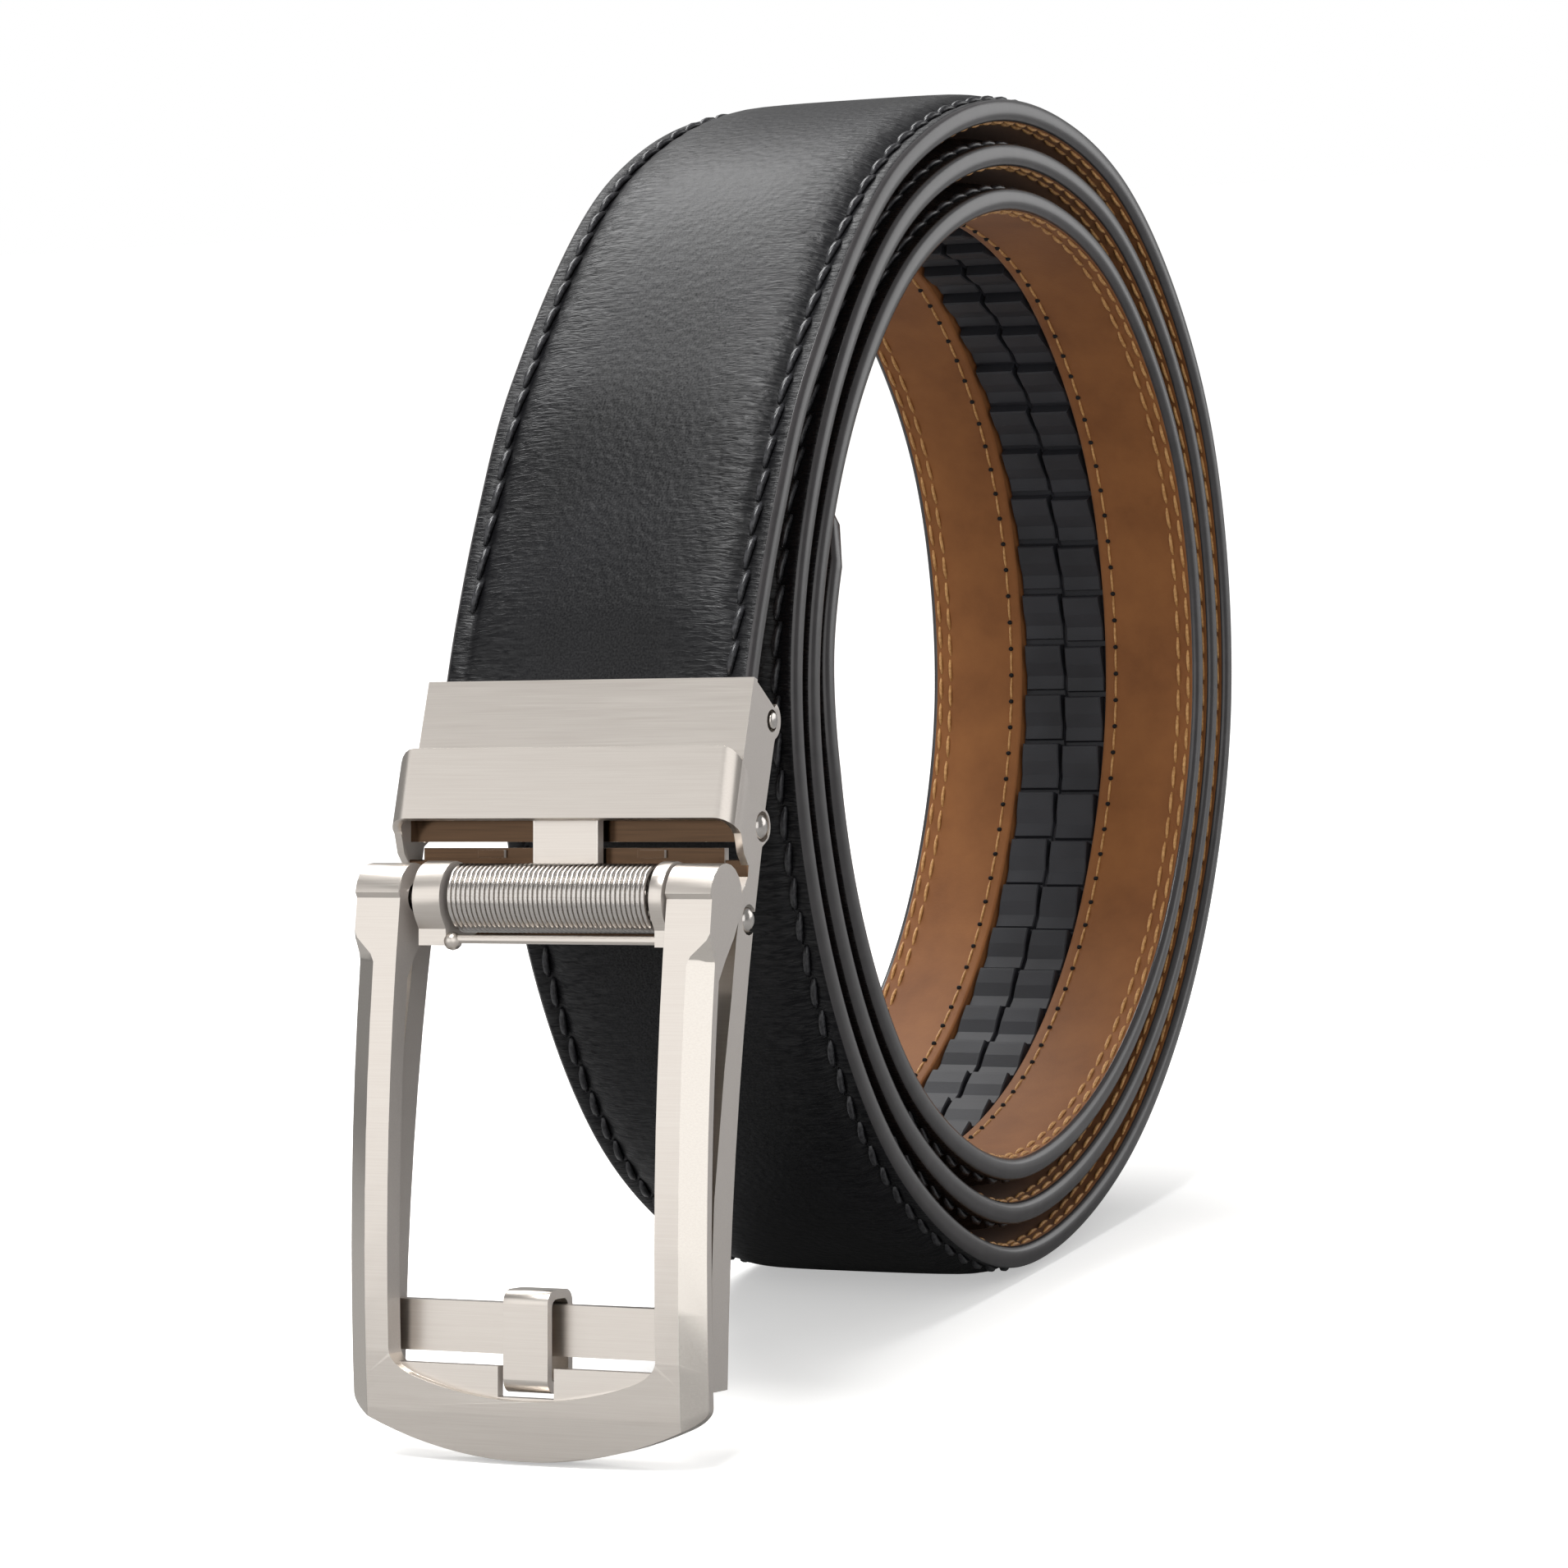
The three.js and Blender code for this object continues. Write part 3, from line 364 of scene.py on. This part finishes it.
# angle, radius and room between turns of the coil, as in the solids
coilTurn = [
    (15, 0.963, 1.0), (30, 0.942, 1.03), (60, 0.963, 1.2), (90, 0.998, 1.2), (120, 1.043, 1.27),
    (150, 1.05, 1.24), (180, 1.023, 1.17), (210, 0.988, 1.1), (240, 0.986, 1.17), (270, 0.998, 1.19),
    (300, 0.938, 1.04), (330, 0.883, 1.0), (360, 0.867, 1.0), (390, 0.855, 1.03),
]


def clampPoint(inward, up):
    lean = math.radians(strapValues["clampLean"])
    return (strapValues["clampY"] + inward * math.cos(lean) + up * math.sin(lean),
            strapValues["clampZ"] - inward * math.sin(lean) + up * math.cos(lean))


def routePoints():
    radii = {angle: radius * strapValues["coilRadius"] for angle, radius, _ in coilTurn}
    room = {angle % 360: share for angle, _, share in coilTurn[:-1]}
    room[coilTurn[1][0]] = coilTurn[1][2]
    # each later turn lies inside the one before it
    angle = coilTurn[-1][0] + strapValues["coilStep"]
    while angle < strapValues["tailAngle"] + strapValues["coilStep"]:
        radii[angle] = radii[angle - 360] - strapValues["pitch"] * room[angle % 360]
        angle += strapValues["coilStep"]
    grip = strapValues["grip"]
    points = [clampPoint(strapValues["clampFace"], up) for up in (-grip, -grip / 2, 0, strapValues["padRise"] - 2)]
    for angle, radius in radii.items():
        points.append((-radius * math.cos(math.radians(angle)), radius * math.sin(math.radians(angle))))
    return np.array(points), max(radii)


def smoothRoute(points, samples=9000):
    # centripetal Catmull-Rom through the points, as evenly spaced parameters
    count = len(points)
    before = np.vstack([2 * points[0] - points[1], points, 2 * points[-1] - points[-2]])
    t = np.linspace(0, count - 1, samples)
    k = np.minimum(t.astype(int), count - 2)
    u = (t - k)[:, None]
    p0, p1, p2, p3 = before[k], before[k + 1], before[k + 2], before[k + 3]
    d0, d1, d2 = [np.sqrt(np.linalg.norm(b - a, axis=1))[:, None] for a, b in ((p0, p1), (p1, p2), (p2, p3))]
    m1 = ((p1 - p0) / d0 - (p2 - p0) / (d0 + d1) + (p2 - p1) / d1) * d1
    m2 = ((p2 - p1) / d1 - (p3 - p1) / (d1 + d2) + (p3 - p2) / d2) * d1
    return p1 + m1 * u + (-3 * p1 + 3 * p2 - 2 * m1 - m2) * u ** 2 + (2 * p1 - 2 * p2 + m1 + m2) * u ** 3


nodePoints, lastAngle = routePoints()
routeLine = smoothRoute(nodePoints)
routeLength = np.concatenate([[0], np.cumsum(np.linalg.norm(np.diff(routeLine, axis=0), axis=1))])
routeTangent = np.gradient(routeLine, routeLength, axis=0)
routeTangent /= np.linalg.norm(routeTangent, axis=1)[:, None]
tailShare = 1 - (lastAngle - strapValues["tailAngle"]) / strapValues["coilStep"] / (len(nodePoints) - 1)
strapLength = float(np.interp(tailShare * (len(routeLine) - 1), np.arange(len(routeLine)), routeLength))
print("strap length %.1f mm" % strapLength)


def onRoute(along, across, height):
    # arrays of the distance along the strap, across it and out from its edge-level face, to points in mm
    y = np.interp(along, routeLength, routeLine[:, 0])
    z = np.interp(along, routeLength, routeLine[:, 1])
    ty = np.interp(along, routeLength, routeTangent[:, 0])
    tz = np.interp(along, routeLength, routeTangent[:, 1])
    scale = np.hypot(ty, tz)
    return np.stack([across + 0 * y, y - tz / scale * height, z + ty / scale * height], axis=-1)


def roundTip(share):
    # a rounded end, squarer than a circle: half width for the share of the tip's length that is left behind
    power = strapValues["tipPower"]
    return (1 - share ** power) ** (1 / power)


def tipTaper(along):
    return 1 - strapValues["tipTaper"] * np.clip(1 - (strapLength - along) / strapValues["taperLength"], 0, 1)


def halfWidth(along):
    inTip = np.clip(1 - (strapLength - along) / strapValues["tipLength"], 0, 1)
    return strapValues["half"] * tipTaper(along) * roundTip(inTip)


def padShare(along):
    rise = strapValues["padRise"]
    share = np.clip(np.minimum((along - strapValues["grip"]) / rise, (strapLength - along) / rise), 0, 1)
    return share * share * (3 - 2 * share)


def stations(step):
    straight = strapLength - strapValues["tipLength"]
    count = int(round(straight / step))
    ratio = np.linspace(1, 0.05, 18)[1:]
    tip = straight + strapValues["tipLength"] * roundTip(ratio)
    return np.concatenate([np.linspace(0, straight, count + 1), tip])


def meshPiece(name, points, faces, materials, body, faceMaterial=None, layout=None, smooth=True):
    mesh = bpy.data.meshes.new(name)
    mesh.from_pydata(toWorld(points).tolist(), [], faces)
    for material in materials:
        mesh.materials.append(material)
    if faceMaterial is not None:
        mesh.polygons.foreach_set("material_index", np.asarray(faceMaterial, np.int32))
    mesh.polygons.foreach_set("use_smooth", np.full(len(mesh.polygons), smooth))
    if layout is not None:
        uv = mesh.uv_layers.new(name="strapMm")
        corners = np.empty(len(mesh.loops), np.int32)
        mesh.loops.foreach_get("vertex_index", corners)
        uv.data.foreach_set("uv", np.asarray(layout, float)[corners].ravel())
    mesh.update()
    piece = bpy.data.objects.new(name, mesh)
    bpy.context.scene.collection.objects.link(piece)
    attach(piece, body)
    return piece


def loftFaces(rings, size):
    faces = []
    for ring in range(rings - 1):
        base = ring * size
        for k in range(size):
            n = (k + 1) % size
            faces.append((base + k, base + n, base + size + n, base + size + k))
    return faces


stitchValues = {"pitch": 3.8, "long": 3.6, "thick": 0.8, "in": 2.2, "slant": 0.55, "sink": 0.16}
# how the thread pulls the leather in: at its holes, and in ripples on the pad beside them
pullValues = {"depth": 0.16, "spread": 0.75, "rippleDepth": 0.11, "rippleIn": 3.9, "rippleSpread": 1.1,
              "flatShare": 0.12}

# distance in from the edge and height above the edge-level face, in mm; height above 0 follows the pad
leatherProfile = [
    (0.9, -1.0), (0.9, -2.36), (0.55, -2.4), (0.2, -2.2), (0.04, -1.8), (0.0, -1.2), (0.04, -0.6), (0.2, -0.2),
    (0.5, 0.0), (0.85, 0.03), (1.35, 0.02), (1.75, -0.06), (2.1, -0.16), (2.45, -0.18), (2.8, -0.04), (3.2, 0.2),
    (3.7, 0.44), (4.4, 0.66), (5.4, 0.82), (6.8, 0.91), (8.8, 0.96), (11.5, 0.99), (14.5, 1.0),
]
paintedRows = 8


def leatherStrap():
    along = stations(stitchValues["pitch"] / 4)
    half = halfWidth(along)[:, None]
    pad = padShare(along)[:, None]
    inward = np.array([d for d, _ in leatherProfile])[None, :]
    height = np.array([h for _, h in leatherProfile])[None, :]
    phase = 2 * math.pi * (along[:, None] - strapValues["grip"]) / stitchValues["pitch"]
    hole = 0.5 + 0.5 * np.cos(phase)
    channel = np.exp(-((inward - stitchValues["in"]) / pullValues["spread"]) ** 2) * (height > -0.5)
    ripple = np.exp(-((inward - pullValues["rippleIn"]) / pullValues["rippleSpread"]) ** 2)
    flat = pullValues["flatShare"]
    raised = np.where(height > 0.05, height * (flat + (1 - flat) * pad), height + 0 * pad)
    level = raised - pullValues["depth"] * channel * hole - pullValues["rippleDepth"] * ripple * hole * pad
    x = half - np.minimum(inward, half)
    right = onRoute(along[:, None], x, level)
    left = onRoute(along[:, None], -x, level)
    ring = np.concatenate([right, left[:, ::-1]], axis=1)
    # the hidden underside is closed flat
    size = ring.shape[1]
    points = ring.reshape(-1, 3)
    faces = loftFaces(len(along), size)
    painted = [1 if k < paintedRows or k >= size - paintedRows - 1 else 0 for k in range(size)]
    faceMaterial = painted * (len(along) - 1)
    faces.append(tuple(range(size)))
    faces.append(tuple(range(len(points) - 1, len(points) - size - 1, -1)))
    faceMaterial += [1, 1]
    across = np.concatenate([x, -x[:, ::-1]], axis=1)
    layout = np.stack([along[:, None] + 0 * across, across], axis=-1).reshape(-1, 2)
    piece = meshPiece("leatherStrap", points, faces, [cowhide, paint], "belt", faceMaterial, layout)
    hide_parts("strap_leather")
    return piece


leatherStrap()
print("leather strap done")

trackValues = {
    "pitch": 6.35, "count": 62, "fromTip": 32.0, "half": 5.15, "floor": -1.05, "root": -1.3, "tip": -2.8,
    "land": -1.85, "ramp": 0.62, "lip": 0.14, "stagger": 0.3, "slotEnd": 4.0, "slotHalf": 5.5, "slotStep": 0.2,
    "middleGap": 0.22,
}
# the seam between the rows of teeth waves from side to side, and drifts slowly along the strap
seamValues = {"perTooth": 8, "wave": 0.22, "drift": 0.12, "driftSteps": 37, "half": 0.16, "lift": 0.22, "step": 0.2}
trackEnd = strapLength - trackValues["fromTip"]
trackStart = trackEnd - trackValues["count"] * trackValues["pitch"]

# lining from its edge inwards, as the leather's profile; then down into the slot, measured from the middle
liningValues = {
    "step": 1.6, "face": -2.4, "slotShare": 0.45,
    "edge": [(0.6, -1.02), (0.6, -2.36), (0.75, -2.4), (1.1, -2.37), (1.7, -2.4), (2.3, -2.36), (3.0, -2.4),
             (5.0, -2.42), (7.6, -2.42)],
    "slot": [(7.4, -2.41), (6.6, -2.38), (5.9, -2.38), (trackValues["slotHalf"] + 0.05, -2.3),
             (trackValues["slotHalf"], -2.1), (trackValues["slotHalf"], -1.1), (0.0, -1.1)],
}


def liningStrap(values):
    slotStart, slotFinish = trackStart - trackValues["slotEnd"], trackEnd + trackValues["slotEnd"]
    step = trackValues["slotStep"]
    ends = np.array([slotStart - step, slotStart + step, slotFinish - step, slotFinish + step])
    along = np.sort(np.concatenate([stations(values["step"]), ends]))
    half = halfWidth(along)[:, None]
    inSlot = ((along > slotStart) & (along < slotFinish))[:, None]
    edge = np.array(values["edge"])
    slot = np.array(values["slot"])
    xEdge = half - np.minimum(edge[:, 0][None, :], half)
    levelEdge = edge[:, 1][None, :] + 0 * half
    xSlot = np.minimum(slot[:, 0][None, :], half * values["slotShare"])
    levelSlot = np.where(inSlot, slot[:, 1][None, :], values["face"])
    x = np.concatenate([xEdge, xSlot], axis=1)
    level = np.concatenate([levelEdge, levelSlot], axis=1)
    right = onRoute(along[:, None], x, level)
    left = onRoute(along[:, None], -x, level)
    ring = np.concatenate([right, left[:, ::-1]], axis=1)
    size = ring.shape[1]
    points = ring.reshape(-1, 3)
    faces = [face[::-1] for face in loftFaces(len(along), size)]
    faces.append(tuple(range(size))[::-1])
    faces.append(tuple(range(len(points) - size, len(points))))
    across = np.concatenate([x, -x[:, ::-1]], axis=1)
    layout = np.stack([along[:, None] + 0 * across, across], axis=-1).reshape(-1, 2)
    piece = meshPiece("liningStrap", points, faces, [lining], "belt", None, layout)
    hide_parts("strap_lining")
    return piece


liningStrap(liningValues)
print("lining done")


def toothTrack(values):
    # a base strip with two columns of teeth and a thin wavy seam between them
    points, faces = [], []
    pitch, half = values["pitch"], values["half"]
    root, tip, land = values["root"], values["tip"], values["land"]

    def addLoft(rings):
        start = len(points)
        size = len(rings[0])
        for ring in rings:
            points.extend(ring)
        for face in loftFaces(len(rings), size):
            faces.append(tuple(start + k for k in face))
        faces.append(tuple(start + k for k in range(size))[::-1])
        last = start + (len(rings) - 1) * size
        faces.append(tuple(last + k for k in range(size)))

    def ringAt(along, outline):
        x = np.array([p[0] for p in outline])
        h = np.array([p[1] for p in outline])
        return onRoute(np.full(len(outline), along), x, h).tolist()

    foot = half + 0.15
    strip = [(-foot, values["floor"]), (-foot, root), (foot, root), (foot, values["floor"])]
    addLoft([ringAt(s, strip) for s in np.arange(trackStart - 1.5, trackEnd + 1.5, 2.0)])
    # each row: distance from the tooth's front, height of its top and how far its sides stand in
    rows = [(0.0, root - 0.02, 0.0), (0.02, tip + 0.14, 0.12), (0.16, tip, 0.2), (0.5, tip + 0.04, 0.18),
            (pitch * 0.36, (tip + land) / 2 - 0.12, 0.1), (pitch * values["ramp"], land, 0.02),
            (pitch * 0.88, land + 0.04, 0.0), (pitch * 0.9, root - 0.02, 0.0)]
    for column in (-1, 1):
        shift = values["stagger"] if column > 0 else 0.0
        for tooth in range(values["count"]):
            s = trackStart + tooth * pitch + shift
            rings = []
            for offset, top, inset in rows:
                inner, outer = values["middleGap"] + inset * 0.4, half - 0.02 - inset
                low = root + 0.1
                lip = 0.0 if top > root - 0.1 else values["lip"]
                outline = [(column * inner, low), (column * inner, top + lip), (column * (inner + lip), top),
                           (column * (outer - lip), top), (column * outer, top + lip), (column * outer, low)]
                if column < 0:
                    outline = outline[::-1]
                rings.append(ringAt(s + offset, outline))
            addLoft(rings)
    seam = []
    perTooth, seamHalf = seamValues["perTooth"], seamValues["half"]
    for k in range(values["count"] * perTooth + 1):
        s = trackStart + k * pitch / perTooth
        wave = seamValues["wave"] * math.sin(2 * math.pi * k / perTooth)
        wave += seamValues["drift"] * math.sin(2 * math.pi * k / seamValues["driftSteps"])
        lift = -seamValues["lift"] - seamValues["step"] * (1 - (k % perTooth) / perTooth)
        seam.append(ringAt(s, [(wave - seamHalf, root + 0.05), (wave, root + lift), (wave + seamHalf, root + 0.05)]))
    addLoft(seam)
    piece = meshPiece("toothTrack", points, faces, [rubber], "belt", smooth=False)
    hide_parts("ratchet_track")
    return piece


toothTrack(trackValues)
print("track done")

# Stitches: each is a short arched tube whose ends go down into the leather


def edgeLine(inward, start):
    # along the right edge to the tip, round it and back along the left edge
    straight = strapLength - strapValues["tipLength"]
    along = np.concatenate([np.arange(start, straight, 1.0),
                            straight + (strapValues["tipLength"] - inward) * np.sin(np.linspace(0, math.pi / 2, 40))])
    share = np.clip((along - straight) / (strapValues["tipLength"] - inward), 0, 1)
    x = (strapValues["half"] * tipTaper(along) - inward) * roundTip(share)
    return np.concatenate([along, along[::-1]]), np.concatenate([x, -x[::-1]])


def stitchRow(name, line, values, height, outSign, material, phase=0.0):
    along, across = line
    run = np.concatenate([[0], np.cumsum(np.hypot(np.diff(along), np.diff(across)))])
    count = int((run[-1] - phase - values["pitch"]) / values["pitch"])
    middles = phase + values["pitch"] * (0.5 + np.arange(count))
    rings, sides = 5, 6
    u = np.linspace(-1, 1, rings)
    at = middles[:, None] + u[None, :] * values["long"] / 2
    s = np.interp(at, run, along)
    x = np.interp(at, run, across)
    slant = values["slant"] * np.interp(at, [0, run[-1] * 0.5 - 1, run[-1] * 0.5 + 1, run[-1]], [1, 1, -1, -1])
    x = x + u[None, :] * slant * 0.5
    arch = height + outSign * (values["thick"] * 0.45 * (1 - u ** 2) - values["sink"])[None, :]
    centre = onRoute(s, x, arch)
    ahead = np.gradient(centre, axis=1)
    ahead /= np.linalg.norm(ahead, axis=2)[..., None]
    out = onRoute(s, x, arch + outSign) - centre
    sideways = np.cross(ahead, out)
    sideways /= np.linalg.norm(sideways, axis=2)[..., None]
    radius = values["thick"] / 2 * np.array([0.55, 0.95, 1.0, 0.95, 0.55])
    angle = np.linspace(0, 2 * math.pi, sides, endpoint=False)
    body = (centre[:, :, None, :]
            + radius[None, :, None, None] * (np.cos(angle)[None, None, :, None] * sideways[:, :, None, :]
                                             + np.sin(angle)[None, None, :, None] * out[:, :, None, :]))
    points = body.reshape(-1, 3)
    one = loftFaces(rings, sides) + [tuple(range(sides))[::-1],
                                     tuple(range((rings - 1) * sides, rings * sides))]
    faces = [tuple(k + n * rings * sides for k in face) for n in range(count) for face in one]
    return meshPiece(name, points, faces, [material], "belt")


padStart = strapValues["grip"] + 0.6
stitchRow("edgeStitches", edgeLine(stitchValues["in"], padStart), stitchValues, -0.05, 1, blackThread)
liningStitch = {"pitch": 3.3, "long": 2.8, "thick": 0.44, "slant": 0.12, "sink": 0.07, "outerIn": 1.2,
                "innerIn": 2.45, "innerShift": 1.65}
liningFace = liningValues["face"]
stitchRow("liningStitchesOuter", edgeLine(liningStitch["outerIn"], padStart), liningStitch, liningFace, -1,
          tanThread)
stitchRow("liningStitchesInner", edgeLine(liningStitch["innerIn"], padStart), liningStitch, liningFace, -1,
          tanThread, liningStitch["innerShift"])

slotStitch = {"pitch": 3.37, "long": 2.8, "thick": 0.32, "slant": 0.0, "sink": 0.07, "across": 6.9, "overrun": 3.5}
# dots of painted shade at the needle holes, between the slot stitches
holeDot = {"pitch": 3.37, "long": 0.6, "thick": 0.6, "slant": 0.0, "sink": 0.2, "shift": 1.685}


def slotLine(x):
    along = np.arange(trackStart - slotStitch["overrun"], trackEnd + slotStitch["overrun"], 1.0)
    return along, np.full(len(along), x)


for sideName, sideX in (("Left", -slotStitch["across"]), ("Right", slotStitch["across"])):
    stitchRow("slotStitches" + sideName, slotLine(sideX), slotStitch, liningFace, -1, tanThread)
    stitchRow("slotHoleShades" + sideName, slotLine(sideX), holeDot, liningFace, -1, holeShade,
              holeDot["shift"])
print("stitches done")

# Return spring: close-wound wire on the rod

springValues = {"y": -76.9, "z": -23.2, "radius": 3.22, "wire": 0.27, "left": -9.6, "right": 12.7, "turns": 41}


def returnSpring(values):
    perTurn, sides = 28, 6
    count = values["turns"] * perTurn
    k = np.arange(count + 1)
    angle = 2 * math.pi * k / perTurn
    x = values["left"] + (values["right"] - values["left"]) * k / count
    centre = np.stack([x, values["y"] + values["radius"] * np.cos(angle),
                       values["z"] + values["radius"] * np.sin(angle)], axis=-1)
    out = np.stack([0 * x, np.cos(angle), np.sin(angle)], axis=-1)
    turn = np.linspace(0, 2 * math.pi, sides, endpoint=False)
    across = np.array([1.0, 0, 0])
    body = centre[:, None, :] + values["wire"] * (np.cos(turn)[None, :, None] * out[:, None, :]
                                                  + np.sin(turn)[None, :, None] * across)
    faces = loftFaces(count + 1, sides)
    faces.append(tuple(range(sides)))
    faces.append(tuple(range(count * sides, (count + 1) * sides))[::-1])
    piece = meshPiece("springWire", body.reshape(-1, 3), faces, [drawnSteel], "buckle")
    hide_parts("return_spring")
    return piece


returnSpring(springValues)
print("spring done")

# Metal parts keep their solids; their corners are rounded and their curved faces smoothed

metalValues = {
    "clamp_box": (satinNickel, 0.18), "clamp_flap": (drawnSteel, 0.1), "clamp_pin": (drawnSteel, 0.15),
    "buckle_base": (satinNickel, 0.15), "hinge_pin_left": (drawnSteel, 0.0), "hinge_pin_right": (drawnSteel, 0.0),
    "base_rivet_left": (drawnSteel, 0.0), "base_rivet_right": (drawnSteel, 0.0),
    "pawl_tongue": (satinNickel, 0.15), "spring_rod": (drawnSteel, 0.1), "faux_prong": (satinNickel, 0.25),
    "front_frame": (satinNickel, 0.3),
}
# which faces are sides, chamfers or recessed plates, by their slope and by their depth in mm
faceValues = {"side": 0.92, "chamferSide": 0.35, "chamferFront": -0.3, "front": -0.9, "recess": (8.6, 9.8)}
# fine corners: points closer than weld, in mm, are joined, and edges sharper than angle are rounded
cornerValues = {"weld": 0.002, "segments": 2, "angle": 28}


def dressMetal(name, material, corner):
    # flat faces stay flat to the eye; corners turn and are polished, and so are the frame's chamfers
    node = nodes[name]
    mesh = node.data
    mesh.materials.clear()
    polished, sideLit, recessShade = 1, 2, 3
    for finish in (material, polishedNickel, sideLitNickel, recessShadeNickel):
        mesh.materials.append(finish)
    turned = np.array(restPlace)[:3, :3]
    normals = np.empty(len(mesh.polygons) * 3)
    mesh.polygons.foreach_get("normal", normals)
    normals = normals.reshape(-1, 3) @ turned
    centres = np.empty(len(mesh.polygons) * 3)
    mesh.polygons.foreach_get("center", centres)
    corners = np.empty(len(mesh.vertices) * 3)
    mesh.vertices.foreach_get("co", corners)
    # depth behind the piece's foremost point
    centres = centres.reshape(-1, 3) @ turned
    corners = corners.reshape(-1, 3) @ turned
    depth = (centres[:, 1] - corners[:, 1].min()) / mm
    sideways, forwards = abs(normals[:, 0]), normals[:, 1]
    chosen = np.zeros(len(normals), np.int32)
    # sideways faces of the satin pieces take the lighter copy: painted light
    if material is satinNickel:
        chosen[sideways > faceValues["side"]] = sideLit
    if name == "front_frame":
        sloped = (sideways > faceValues["chamferSide"]) & (sideways < faceValues["side"])
        chosen[sloped & (forwards < faceValues["chamferFront"])] = polished
    if name == "buckle_base":
        # fronts of the two plates behind the keeper take the dark brown finish: painted shade and painted reflection
        nearest, farthest = faceValues["recess"]
        chosen[(forwards < faceValues["front"]) & (depth > nearest) & (depth < farthest)] = recessShade
    mesh.polygons.foreach_set("material_index", chosen)
    mesh.polygons.foreach_set("use_smooth", np.full(len(mesh.polygons), True))
    weld = node.modifiers.new("weld", "WELD")
    weld.merge_threshold = cornerValues["weld"] * mm
    if corner:
        bevel = node.modifiers.new("bevel", "BEVEL")
        bevel.width = corner * mm
        bevel.segments = cornerValues["segments"]
        bevel.limit_method = "ANGLE"
        bevel.angle_limit = math.radians(cornerValues["angle"])
        bevel.material = polished
        weighted = node.modifiers.new("weighted", "WEIGHTED_NORMAL")
        weighted.weight = 100
        weighted.mode = "FACE_AREA"


for metalName, (metalFinish, metalCorner) in metalValues.items():
    dressMetal(metalName, metalFinish, metalCorner)
print("metal done")
